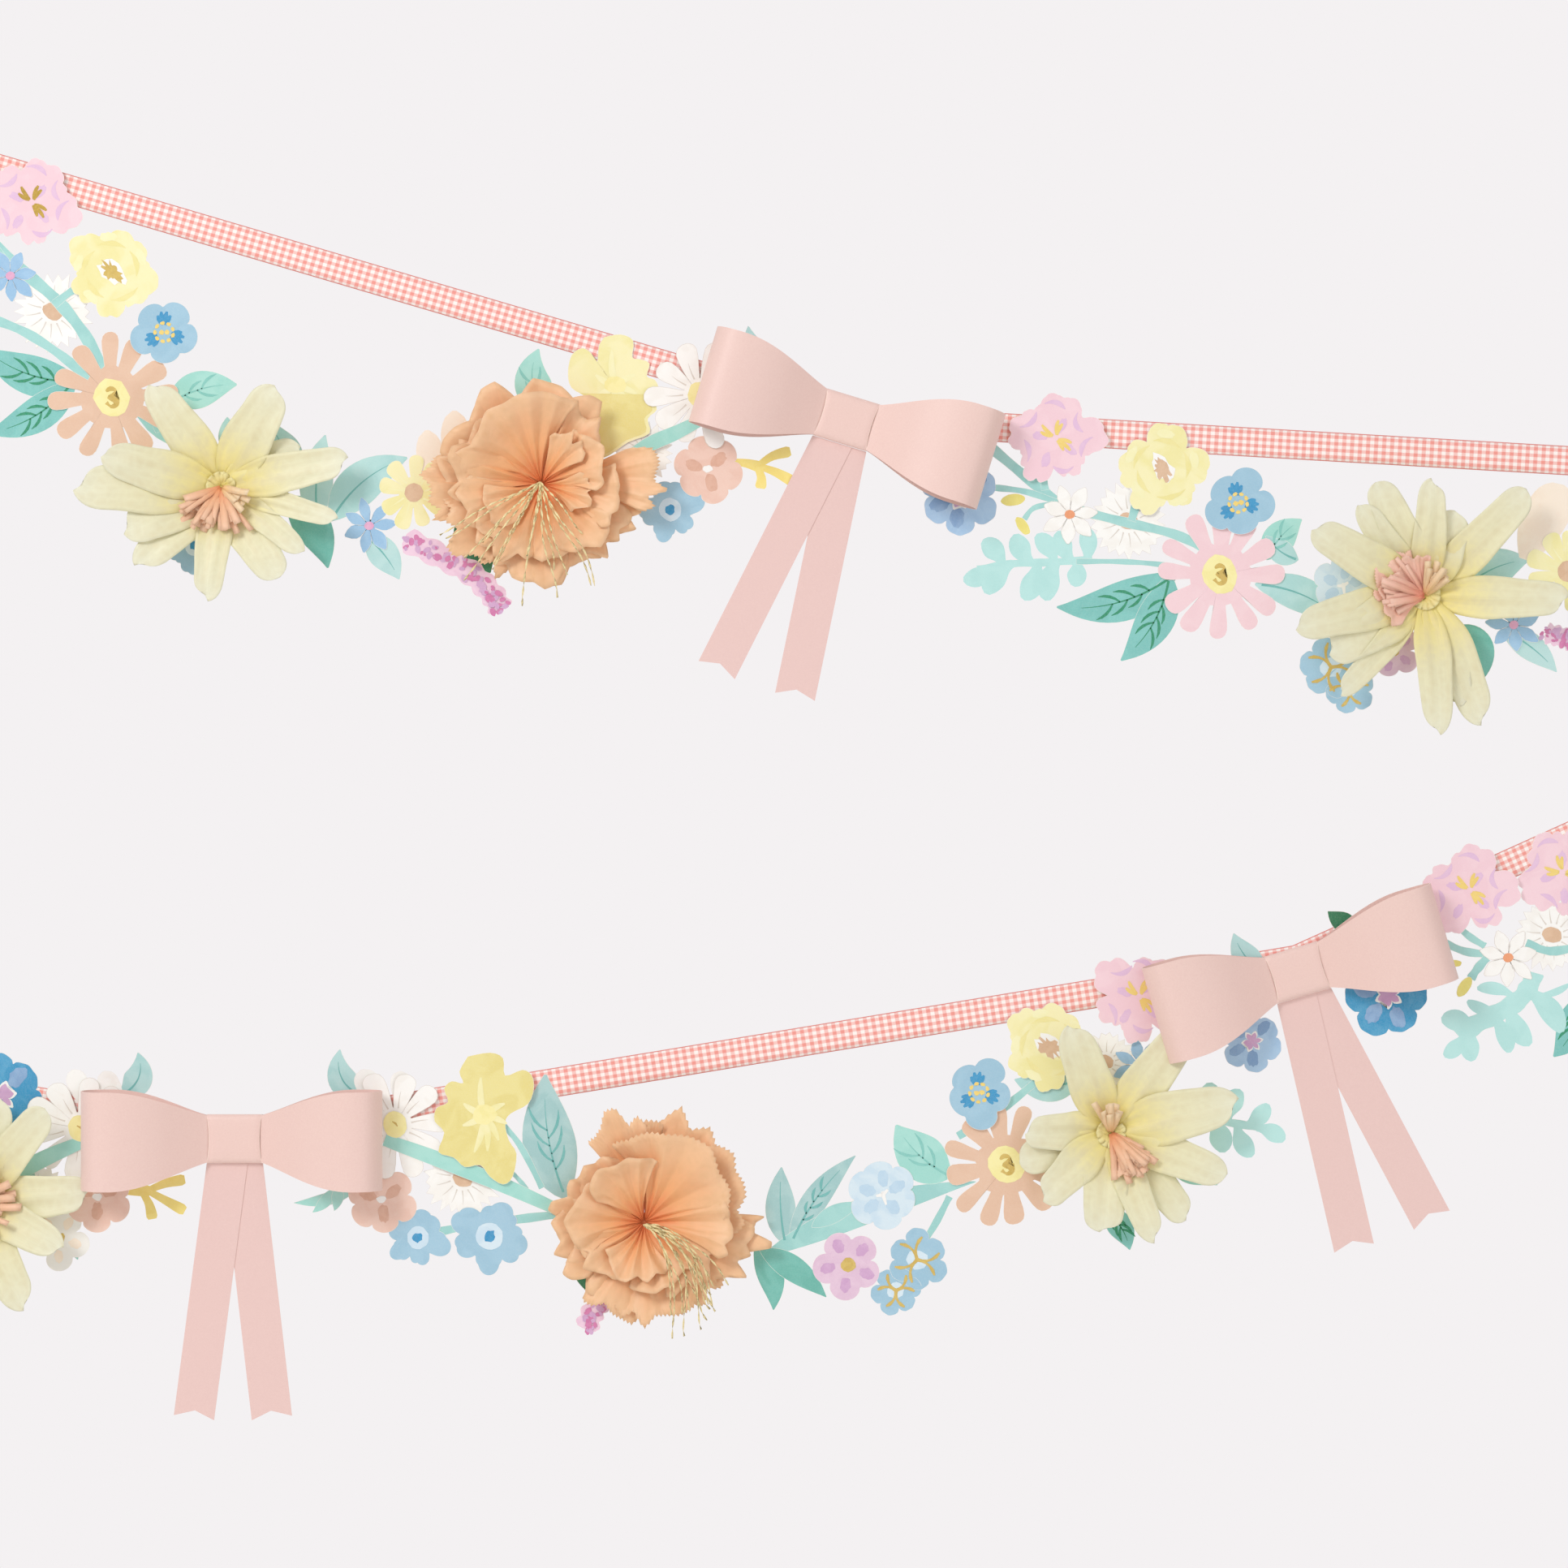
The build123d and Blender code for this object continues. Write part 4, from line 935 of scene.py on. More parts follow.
def lilac(pile, spine, width, height):
    """A narrow spray of lilac: pale bumpy card with magenta dabs."""
    line = trail(spine, 10)
    wide = width * PIXEL
    shares = [0.72 + 0.28 * abs(math.sin(i * 0.55)) for i in range(len(line))]
    shares[:2], shares[-2:] = (0.4, 0.7), (0.75, 0.35)
    pile.flat_card(height, stroke(line, [wide * share for share in shares]), "lilac floret", 0.3)
    chance = random.Random(int(width))
    for i, (x, y) in enumerate(line[1:-1], 1):
        for dab in range(2):
            dx, dy = chance.uniform(-0.26, 0.26) * wide, chance.uniform(-0.26, 0.26) * wide
            size = chance.uniform(0.6, 1.5)
            outline = blob(x + dx, y + dy, size * 1.5, size, chance.uniform(0, 180), i, 10)
            finish = ("magenta dot", "violet mark")[(i + dab) % 2]
            pile.ink(Seat((0, 0), height=height), outline, finish, INK + 0.006 * (2 * i + dab))


# Ribbons
# Of the ribbons: places across the width, thickness, and where the knots, the loops, the corners and the ends lie
ACROSS = (-7.5, -3.75, 0.0, 3.75, 7.5)
WEAVE = 0.25
KNOTS = {1: (1043.3, 515.8), 2: (289.8, 1398.8), 3: (1597.8, 1182.4)}
UPPER_LOOP, LOWER_LOOP = (-38.64, 197.06), (-38.64, 1342.7)
UPPER_CORNER, LOWER_CORNER = (2005.4, 571.9), (2005.4, 998.8)
LOWER_JOIN, END_JOIN = (1412.0, 1214.0), (1436.0, 1210.0)
# Of the hanging loops: radius, where the lap starts and ends along the ribbon, and where it meets the loop
LOOP_RADIUS, LAP_START, LAP_END, LAP_TURN = 4.475, 28.0, 16.0, -60


def unit(start, end):
    """The way and the distance between two places of the picture."""
    a, b = picture(*start), picture(*end)
    return heading(a, b), math.dist(a, b)


def run_rows(places, cuts=None, step=5.0):
    """Rows across a flat ribbon, mitred where it bends: across, up, distance run and place in its width."""
    cuts = cuts or {}
    last = len(places) - 1
    ways = [unit(a, b) for a, b in zip(places, places[1:])]
    normals = []
    for i in range(last + 1):
        before, after = ways[max(i - 1, 0)][0], ways[min(i, last - 1)][0]
        normals.append(cuts.get(i, (before[0] + after[0], before[1] + after[1])))
    rows, run = [], 0.0
    for i, ((tx, ty), long) in enumerate(ways):
        x, y = picture(*places[i])
        count = max(2, int(long / step))
        for k in range(count + (i == last - 1)):
            row = []
            for v in ACROSS:
                start, end = (-(tx * ny - ty * nx) * v / (tx * nx + ty * ny) for nx, ny in normals[i : i + 2])
                s = start + (long + end - start) * k / count
                row.append((x + tx * s - ty * v, y + ty * s + tx * v, run + s, v))
            rows.append(row)
        run += long
    return rows


def loop_profile():
    """The hanging loop from the side, about its own middle: along the ribbon and height."""
    lap = LOOP_RADIUS - 0.30
    points = [(LAP_START - (LAP_START - LAP_END) * i / 4, lap) for i in range(5)]
    foot = around(math.radians(LAP_TURN), LOOP_RADIUS)
    points += [(LAP_END + (foot[0] - LAP_END) * i / 7, lap + (foot[1] - lap) * i / 7) for i in range(1, 7)]
    return points + [around(math.radians(LAP_TURN - 15 * i), LOOP_RADIUS) for i in range(15)]


def loop_sections(place, toward):
    """Cross-sections of the hanging loop at a ribbon's end, from its lap to the top of the loop."""
    (tx, ty), _ = unit(place, toward)
    x, y = picture(*place)
    points = loop_profile()
    steps = [math.dist(a, b) for a, b in zip(points, points[1:])]
    run = -sum(steps)
    sections, prints = [], []
    for (s, h), (ds, dh), step in zip(points, headings(points), steps):
        ns, nh = -dh * WEAVE / 2, ds * WEAVE / 2
        ring = [(s + ns, h + nh, v) for v in ACROSS] + [(s - ns, h - nh, v) for v in reversed(ACROSS)]
        sections.append([FLAT.at(x + tx * a - ty * v, y + ty * a + tx * v, b - RIBBON_FRONT) for a, b, v in ring])
        prints.append([(run, v) for _, _, v in ring])
        run += step
    return sections, prints


def lay_ribbon(rows, height, loop=None):
    """A length of ribbon with both its faces, as one closed strip."""
    sections, prints = loop_sections(*loop) if loop else ([], [])
    for row in rows:
        over = [FLAT.at(x, y, height) for x, y, _, _ in row]
        under = [FLAT.at(x, y, height - WEAVE) for x, y, _, _ in reversed(row)]
        sections.append(over + under)
        prints.append([(s, v) for _, _, s, v in row + row[::-1]])
    pile = Pile()
    pile.grid(sections, "gingham", prints, closed=True)
    wide = len(ACROSS) * 2
    pile.cap(0, wide, "gingham")
    pile.cap(len(pile.corners) - wide, wide, "gingham")
    return pile


def corner_cut(before, corner, after):
    """The way across the ribbon of its fold at a corner."""
    (ax, ay), _ = unit(before, corner)
    (bx, by), _ = unit(corner, after)
    return bx - ax, by - ay


def ribbons():
    """Four lengths of gingham: two strands with hanging loops, the link between them and the lower strand's start."""
    upper_cut = corner_cut(KNOTS[1], UPPER_CORNER, LOWER_CORNER)
    lower_cut = corner_cut(UPPER_CORNER, LOWER_CORNER, KNOTS[3])
    pile = lay_ribbon(run_rows([UPPER_LOOP, KNOTS[1], UPPER_CORNER], {2: upper_cut}), 0.0, (UPPER_LOOP, KNOTS[1]))
    upper = pile.build("gingham_ribbon_upper", None, ("ribbon_upper_left", "ribbon_upper_right"), "gingham_ribbon")
    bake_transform(upper)

    pile = lay_ribbon(run_rows([UPPER_CORNER, LOWER_CORNER], {0: upper_cut, 1: lower_cut}), -0.3)
    link = pile.build("gingham_ribbon_link", "upper_right", ("ribbon_link",), "gingham_ribbon")

    pile = lay_ribbon(run_rows([LOWER_CORNER, KNOTS[3], LOWER_JOIN], {0: lower_cut}), 0.0)
    lower = pile.build("gingham_ribbon_lower", None, ("ribbon_lower_right",), "gingham_ribbon")
    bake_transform(lower)

    pile = lay_ribbon(run_rows([LOWER_LOOP, KNOTS[2], END_JOIN]), -0.02, (LOWER_LOOP, KNOTS[2]))
    end = pile.build("gingham_ribbon_end", None, ("ribbon_lower_middle", "ribbon_lower_left"), "gingham_ribbon")
    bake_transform(end)


# Bows: middle, turn, leans of the left and right tails, body of the bow and body of its tails
BOWS = {
    1: ((1043.3, 517.8), -17.0, (-9.8, 5.3), "upper_left", "bow_1_tails"),
    2: ((289.8, 1402.6), 0.0, (-7.4, 6.6), "lower_middle", "bow_2_tails"),
    3: ((1597.8, 1197.8), 16.5, (-3.6, 11.5), "upper_right", "bow_3_tails"),
}
# The right loop's paper and the right half of the knot, seen from their edge: across and height
LOOP_BAND = [
    (0, 3.3), (9, 3.4), (13.3, 3.8), (20, 8), (28, 13.5), (37, 19.4), (47, 24), (56, 26.3), (63.1, 26.8),
    (69.5, 25.4), (74, 21.5), (76.5, 16.5), (76.8, 13.1), (75.6, 8.5), (72.3, 5), (68, 3.4), (60, 3.1), (50, 3.0),
    (35, 2.9), (20, 2.6), (13.3, 1.5), (9, 1.2), (0, 1.2),
]
KNOT_RING = [
    (0, 4.75), (5, 4.72), (9.5, 4.6), (11.9, 4.1), (12.5, 3.0), (12.5, 1.6), (11.9, 0.6), (9.5, 0.35), (5, 0.3),
    (0, 0.3),
]
KNOT_HALF = 13
KNOT_STEPS = (-KNOT_HALF, -12.7, -10, -5, 0, 5, 10, 12.7, KNOT_HALF)
KNOT_MIDDLE = 2.4
BAND_PAPER = 0.45
# Where the loops start to flare and for how long, and half their height before and what the flare adds
FLARE_START, FLARE_LENGTH, WAIST_HALF, FLARE_RISE = 12, 50, 11.7, 13.6
TAIL_LENGTH, TAIL_HALF, TAIL_NOTCH, TAIL_PAPER = 131.0, 10.4, 3.8, 0.35
TAIL_ROWS, TAIL_COLUMNS = 24, 6
# Where a tail's top lies from the bow's middle, and how high the left and the right one lie
TAIL_TOP = (4.0, -13.2)
TAIL_HEIGHTS = {"left": 1.45, "right": 1.05}


def band_half_height(along):
    """Half the loops' height at a distance from the knot."""
    share = max(0.0, min(1.0, (along - FLARE_START) / FLARE_LENGTH))
    return WAIST_HALF + FLARE_RISE * math.sin(share * math.pi / 2) ** 1.25


def bow_loops(number):
    """Two rounded loops that flare from the knot: strips of paper bent along a profile."""
    middle, turn, _, body, _ = BOWS[number]
    pile = Pile()
    seat = Seat(middle, turn)
    points = smooth(LOOP_BAND, 3)
    for side in (1, -1):
        outer, inner = [], []
        for (s, h), (ds, dh) in zip(points, headings(points)):
            half = band_half_height(s)
            places = [half * (2 * k / 8 - 1) for k in range(9)]
            outer.append([seat.at(side * s, w, h) for w in places])
            inner.append([seat.at(side * (s + dh * BAND_PAPER), w, h - ds * BAND_PAPER) for w in places])
        pile.grid(outer, "bow paper")
        pile.grid([row[::-1] for row in inner], "bow paper")
        for edge in (0, -1):
            pile.grid([[row[edge] for row in outer], [row[edge] for row in inner]], "bow edge", soft=False)
    pile.build(f"bow_{number}_paper_loops", body, (f"bow_{number}_loops",), "bow_paper")


def bow_knot(number):
    """The band round the waist, a little domed."""
    middle, turn, _, body, _ = BOWS[number]
    seat = Seat(middle, turn)
    pile = Pile()
    ring = KNOT_RING + [(-w, h) for w, h in reversed(KNOT_RING[1:-1])]
    outer = []
    for x in KNOT_STEPS:
        tucked = 0.25 if abs(x) == KNOT_HALF else 0
        outer.append([seat.at(x * (1 + 0.0006 * w * w), w, h - tucked) for w, h in ring])
    pile.grid(outer, "bow paper", closed=True, finish_of=lambda r: "bow edge" if r in (0, 7) else "bow paper")
    ends = (KNOT_HALF, -KNOT_HALF)
    inner = [[seat.at(x, w * 0.955, KNOT_MIDDLE + (h - KNOT_MIDDLE) * 0.72) for w, h in ring] for x in ends]
    pile.grid(inner, "bow paper", closed=True)
    pile.grid([outer[-1], inner[0]], "bow edge", closed=True, soft=False)
    pile.grid([inner[1], outer[0]], "bow edge", closed=True, soft=False)
    pile.build(f"bow_{number}_paper_knot", body, (f"bow_{number}_knot",), "bow_paper")


def bow_tail(number, name, side):
    """A flat tail with a swallow notch, a little curled at its foot."""
    middle, turn, leans, _, body = BOWS[number]
    lean = math.radians(leans[side > 0])
    seat = Seat(middle, turn)
    front, back = [], []
    for r in range(TAIL_ROWS + 1):
        s = r / TAIL_ROWS
        height = TAIL_HEIGHTS[name] + 1.1 * s * s + 0.25 * math.sin(s * 4) * s
        places = []
        for v in (c / TAIL_COLUMNS * 2 - 1 for c in range(TAIL_COLUMNS + 1)):
            level = math.tan(lean) * v * TAIL_HALF
            way = level + (TAIL_LENGTH - TAIL_NOTCH * (1 - abs(v)) - level) * s - 0.5 * (r == 0)
            across = TAIL_TOP[0] * side + math.cos(lean) * v * TAIL_HALF + math.sin(lean) * way
            places.append((across, TAIL_TOP[1] + math.sin(lean) * v * TAIL_HALF - math.cos(lean) * way))
        front.append([seat.at(a, b, height) for a, b in places])
        back.append([seat.at(a, b, height - TAIL_PAPER) for a, b in reversed(places)])
    pile = Pile()
    # The tail's paper is darkened as painted shade.
    pile.grid(front, "tail paper")
    pile.grid(back, "tail paper")
    for a, b in ((0, -1), (-1, 0)):
        pile.grid([[row[a] for row in front], [row[b] for row in back]], "bow edge", soft=False)
    for r in (0, -1):
        pile.grid([front[r], back[r][::-1]], "bow edge", soft=False)
    pile.build(f"bow_{number}_paper_{name}_tail", body, (f"bow_{number}_{name}_tail",), "bow_paper")


def bows():
    """Each bow's loops, knot and two tails."""
    for number in BOWS:
        bow_loops(number)
        bow_knot(number)
        bow_tail(number, "left", -1)
        bow_tail(number, "right", 1)


# Tissue flowers
TISSUE_REACH = 70.0
PETAL_ROWS, PETAL_COLUMNS = 24, 12
STRIP_ROWS, HEART_STRIPS, PALE_STRIPS = 8, 14, 9
HUB_RINGS, HUB_RADIUS, HUB_STEP = 3, 8, 2.2
STRANDS, STRAND_ROWS = 15, 26
# The printed place of tissue at a flower's heart
HEART = (0.5, 0.0)
# Each tissue daisy: its middle, how full its petals are, and each petal's turn, share of the reach and width
TISSUE_DAISIES = {
    "a": (
        (274.3, 600.8), 1.18,
        [
            (-156, 0.73, 22), (-134, 0.8, 18), (181, 1.0, 24), (168, 0.84, 20), (122, 0.86, 19), (58, 0.8, 22),
            (11, 0.92, 18), (27, 0.62, 18), (-16, 0.87, 11), (-36, 0.76, 12), (-59, 0.78, 19), (-96, 0.8, 16),
        ],
    ),
    "b": (
        (1754.3, 734.2), 1.12,
        [
            (-167, 0.97, 20), (-150, 0.8, 24), (-129, 0.93, 13), (151, 0.94, 20), (130, 0.8, 15), (113, 0.88, 19),
            (88, 0.8, 16), (70, 0.62, 20), (45, 1.02, 19), (-3, 0.98, 20), (-84, 0.98, 17), (-64, 0.98, 20),
            (-72, 0.8, 22),
        ],
    ),
    "c": (
        (-34.8, 1479.9), 1.18,
        [
            (150, 0.8, 20), (118, 0.85, 18), (72, 0.78, 20), (48, 0.88, 18), (4, 0.86, 20), (-22, 0.74, 18),
            (-58, 0.84, 19), (-84, 0.8, 20), (-112, 0.85, 18), (-140, 0.78, 20),
        ],
    ),
    "d": (
        (1367.9, 1394.9), 1.18,
        [
            (114, 0.82, 20), (58, 0.94, 20), (18, 0.9, 23), (-19, 0.86, 18), (-46, 0.8, 17), (-70, 0.8, 15),
            (-98, 0.68, 21), (-140, 0.66, 18), (-164, 0.68, 19), (176, 0.6, 18),
        ],
    ),
}
# Each fringe: the way it points, its spread, its finish, a paler bunch beside it, how many strips, and its gathered
# fans: turn, length, tilt and width
FRINGES = {
    "a": (-106, 44, "coral tissue", -40, 44, [(-100, 22, 30, 26)]),
    "b": (
        168, 38, "pink tissue", 66, 26,
        [(146, 30, 22, 36), (192, 26, 22, 32), (116, 24, 30, 22), (168, 24, 34, 26)],
    ),
    "c": (-60, 150, "coral tissue", 60, 44, []),
    "d": (-52, 24, "coral tissue", 96, 44, [(-56, 26, 26, 26)]),
}
# Each pompom: its middle and its ruffles from the lowest: turn, length, tilt, width, cut edge
POMPOMS = {
    "a": (
        (668.0, 597.0),
        [
            (134, 56, 12, 66, 0), (160, 53, 11, 50, 0), (186, 60, 9, 42, 1), (212, 56, 11, 50, 1),
            (240, 52, 11, 44, 1), (264, 53, 11, 50, 0), (290, 51, 12, 52, 0), (318, 51, 12, 44, 0),
            (338, 54, 11, 38, 0), (8, 63, 11, 40, 1), (84, 52, 14, 62, 0), (60, 45, 17, 40, 0),
            (200, 46, 20, 46, 0), (236, 45, 21, 48, 0), (274, 43, 22, 50, 0), (314, 46, 22, 50, 0),
            (352, 46, 20, 38, 0), (166, 50, 20, 50, 0), (116, 51, 26, 80, 0), (22, 40, 27, 40, 0),
            (58, 34, 35, 26, 0), (212, 34, 26, 30, 0), (344, 30, 30, 26, 0),
        ],
    ),
    "d": (
        (794.0, 1505.0),
        [
            (102, 59, 11, 46, 1), (66, 60, 12, 74, 1), (28, 57, 12, 62, 1), (358, 64, 9, 28, 0),
            (338, 58, 9, 46, 0), (314, 52, 11, 52, 1), (286, 51, 11, 52, 1), (256, 50, 11, 48, 1),
            (222, 44, 13, 48, 0), (190, 48, 12, 46, 0), (166, 48, 14, 40, 0), (138, 44, 16, 46, 0),
            (52, 54, 23, 88, 1), (4, 50, 19, 40, 0), (322, 44, 18, 44, 0), (288, 38, 20, 42, 0),
            (170, 42, 22, 48, 0), (216, 38, 22, 46, 0), (118, 41, 31, 46, 0), (258, 32, 29, 42, 0),
        ],
    ),
}
# Each bunch of strands: the ways its locks hang, their spread, how far they bend at first, and their lengths
TINSEL = {"a": ((-104,), 52, 0, (33, 64)), "d": ((-44, -68), 9, 48, (46, 62))}


def crumple(x, y, size, seed):
    """Smooth noise of some size, from about -1 to 1."""
    return noise.noise(Vector((x / size, y / size, seed * 3.1)))


def crease(value):
    """A wave with straight sides and sharp folds, from -1 to 1."""
    return math.asin(math.sin(value)) * 2 / math.pi


def add_to_swag(pile, swag, name, node, slot, thick=0.0):
    """Builds a piece that stands for a node of a swag and rides with it."""
    pile.build(f"swag_{swag}_{name}", SWAG_BODIES[swag], (f"swag_{swag}_{node}",), slot, thick)


def tissue_petal(pile, middle, turn, share, wide, seed, start_height):
    """One long strap of tissue, gathered at its root, softly creased and blunt at its end."""
    chance = random.Random(seed)
    long = TISSUE_REACH * share
    side_bend = chance.uniform(-0.06, 0.06)
    crease_at, crease_up = chance.uniform(-0.5, 0.5), chance.uniform(0.5, 1.5)
    lift, droop = chance.uniform(0.32, 0.46), chance.uniform(0.12, 0.22)
    twist = chance.uniform(-0.16, 0.16)
    slant = chance.uniform(-0.04, 0.04)
    tip = chance.uniform(0.76, 0.88)
    seat = Seat(middle, turn)
    rows = []
    for r in range(PETAL_ROWS + 1):
        s = 1 - (1 - r / PETAL_ROWS) ** 1.4
        full = 0.30 + 0.70 * math.sin(math.pi / 2 * min(s / 0.40, 1))
        blunt = math.sqrt(max(1 - (max(s - tip, 0) / (1.0 - tip)) ** 2.6, 0.02))
        half = wide / 2 * full * blunt * (1 - 0.5 * max(s - 0.45, 0))
        row = []
        for v in (c / PETAL_COLUMNS * 2 - 1 for c in range(PETAL_COLUMNS + 1)):
            x = 1.5 + long * s * (1 + slant * v * s**4)
            y = v * half + side_bend * long * s * s + 0.5 * crumple(s * 20, v * 2 + seed, 4.0, seed) * abs(v)
            h = start_height + long * (lift * s - droop * s * s)
            h += crease_up * max(1 - abs(v - crease_at) / 0.45, 0) * math.sin(math.pi * min(s * 1.1, 1)) ** 0.6
            h += 1.3 * v * v * math.sin(math.pi * s) ** 0.8 + twist * y * s
            h += 0.9 * crease(v * 8 + seed) * max(1 - s * 2.2, 0) * min(s * 8, 1)
            h += 0.7 * crumple(x, y + seed * 5, 11.0, seed) + 0.22 * crumple(x, y + seed, 3.2, seed) * s
            row.append(seat.at(x, y, max(h, 1.2)))
        rows.append(row)
    pile.grid(rows, "cream tissue")


def tissue_strip(pile, seat, tilt, long, wide, seed, finish, root, droop):
    """One cut strip of a fringe, creased along its middle."""
    chance = random.Random(seed)
    swing, twist = chance.uniform(-0.14, 0.14), chance.uniform(-0.5, 0.5)
    kink = chance.uniform(0.35, 0.8)
    rows = []
    x, h = root
    for s in (r / STRIP_ROWS for r in range(STRIP_ROWS + 1)):
        half = wide / 2 * (0.55 + 0.45 * min(s * 2.5, 1))
        row = []
        for v in (-1, 0, 1):
            rise = (v * twist + 0.35 * (1 - abs(v))) * s + 0.25 * math.sin(s * 9 + seed)
            row.append(seat.at(x, swing * long * s * s + v * half, h + rise))
        rows.append(row)
        dx, dh = around(math.radians(tilt * (1 - droop * s)) - 0.8 * max(s - kink, 0), long / STRIP_ROWS)
        x, h = x + dx, h + dh
    pile.grid(rows, finish)


def tissue_daisy(swag):
    """A tissue daisy: long petals round a small hub."""
    middle, full, petals = TISSUE_DAISIES[swag]
    pile = Pile()
    for i, (turn, share, wide) in enumerate(petals):
        height = 2.4 + 0.5 * ((i * 5) % 4)
        tissue_petal(pile, middle, turn, share, wide * full, 11 + i + ord(swag) * 5, height)
    for i in range(HEART_STRIPS):
        tissue_strip(pile, Seat(middle, i * 26 + 9), 34, 8.0, 3.6, i, "yellow tissue", (0.5, 3.4), 0.3)
    for ring in range(HUB_RINGS):
        size = HUB_RADIUS - ring * HUB_STEP
        seat = Seat(middle, 0, 1.2 + ring * 1.2)
        outline = blob(0, 0, size, size, 0, ring, 20, 0.1)
        pile.face([seat.at(x, y) for x, y in outline], "yellow tissue", HEART)
    add_to_swag(pile, swag, "tissue_daisy", "tissue_petals", "cream_tissue", thick=0.06)


def fringe(swag):
    """Strips of coral tissue that burst from the daisy's heart to one side."""
    middle = TISSUE_DAISIES[swag][0]
    toward, spread, finish, beside, strips, fans = FRINGES[swag]
    pile = Pile()
    chance = random.Random(ord(swag))
    for i, (turn, long, tilt, wide) in enumerate(fans):
        ruffle(pile, Seat(middle, turn), long, tilt, wide, 1, i + ord(swag), finish, 4.2, 0.45)
    for i in range(strips):
        turn = toward + spread * (2 * i / (strips - 1) - 1) + chance.uniform(-7, 7)
        tilt, long = chance.uniform(12, 42), chance.uniform(20, 30) * (1 - 0.12 * (i % 3 == 0))
        wide = chance.uniform(2.4, 4.2)
        tissue_strip(pile, Seat(middle, turn), tilt, long, wide, i + ord(swag), finish, (0.5, 4.6), 0.4)
    for i in range(PALE_STRIPS):
        seat = Seat(middle, beside + chance.uniform(-26, 26))
        tilt, long = chance.uniform(30, 55), chance.uniform(13, 22)
        tissue_strip(pile, seat, tilt, long, 3.4, i + 60, "pale coral tissue", (0.4, 4.6), 0.3)
    add_to_swag(pile, swag, "fringe_strips", "tissue_fringe", "coral_tissue", thick=0.05)


def ruffle(pile, seat, long, tilt, wide, cut, seed, finish="peach tissue", root=3.2, deep=1.0):
    """A fan of tissue: gathered at its root, pleated along its way, with a nicked and crumpled rim."""
    chance = random.Random(seed)
    fan = math.asin(min(wide / 2 / long, 0.9))
    folds, phase = fan * chance.uniform(11, 17), chance.uniform(0, 6.28)
    depth, droop = deep * chance.uniform(1.1, 2.0), chance.uniform(0.0, 0.30)
    curl, side = chance.uniform(-0.08, 0.10), chance.uniform(-0.10, 0.10)
    nicks = [chance.uniform(-0.15, 0.05) for _ in range(10)]
    count, steps = 31 + 2 * int(fan * 20), 14
    rows = []
    for s in (r / (steps - 1) for r in range(steps)):
        angle = math.radians(tilt * (1 - droop * s))
        row = []
        for c in range(count):
            v = c / (count - 1) * 2 - 1
            place = (v + 1) * 4.499
            nick = nicks[int(place)] * (1 - place % 1) + nicks[int(place) + 1] * (place % 1)
            rim = 1 + nick - 0.16 * abs(v) ** 4 + cut * 0.013 * (1 if c % 2 else -1) * s**6
            reach = 1.0 + long * rim * s
            way = v * fan * (0.40 + 0.60 * s**0.6) + side * s
            pleat = crease(v * folds + 1.1 * math.sin(v * 2.6 + phase) + phase)
            push = depth * s**0.5 * (1.15 - 0.45 * s) * pleat
            push += 2.0 * s * crumple(reach, way * 30 + seed, 12.0, seed)
            push += 0.9 * s * crumple(reach, v * 24, 4.5, seed) + long * curl * s**3
            along, across = around(way, reach)
            x, h = spun(along, push, angle)
            row.append(seat.at(x, across, max(root + h, 0.9)))
        rows.append(row)
    pile.grid(rows, finish)


def pompom(swag):
    """Crumpled fans of tissue that meet at the heart, flat ones below."""
    middle, fans = POMPOMS[swag]
    pile = Pile()
    for i, (turn, long, tilt, wide, cut) in enumerate(fans):
        ruffle(pile, Seat(middle, turn), long, tilt, wide, cut, i + ord(swag))
    # The heart cap takes the peach tissue's darkest colour, which is partly painted shade.
    seat = Seat(middle, 0, 2.6)
    pile.face([seat.at(x, y) for x, y in blob(0, 0, 5, 5, 0, 1, 16, 0.1)], "peach tissue", HEART)
    add_to_swag(pile, swag, "ruffled_pompom", "pompom", "peach_tissue", thick=0.06)


def tinsel(swag):
    """Thin gold strands that spring from the pompom's heart and fall over its lower half."""
    ways, spread, bend, lengths = TINSEL[swag]
    pile = Pile()
    chance = random.Random(ord(swag) * 3)
    seat = Seat(POMPOMS[swag][0])
    for strand in range(STRANDS):
        toward = ways[strand % len(ways)] + spread * (2 * strand / (STRANDS - 1) - 1) + chance.uniform(-9, 9)
        long = chance.uniform(*lengths)
        rise, sag = chance.uniform(3, 7), chance.uniform(3, 7)
        wave, phase = chance.uniform(0.8, 3.2), chance.uniform(0, 6)
        rows = []
        for s in (r / STRAND_ROWS for r in range(STRAND_ROWS + 1)):
            way = math.radians(toward + bend * (1 - s) ** 1.5)
            x, y = around(way, long * s)
            x, y = x + wave * math.cos(s * 5 + phase) * s, y + wave * math.sin(s * 7 + phase) * s
            h = 18 + rise * math.sin(math.pi * min(s * 1.2, 1)) - sag * s * s + 5 * min(s * 2, 1)
            dx, dh = around(s * 30 + phase, 0.55)
            along, aside = around(way, dx)
            rows.append([seat.at(x + aside, y - along, h - dh), seat.at(x - aside, y + along, h + dh)])
        pile.grid(rows, "tinsel")
    add_to_swag(pile, swag, "tinsel_strands", "tinsel", "gold_tinsel", thick=0.12)


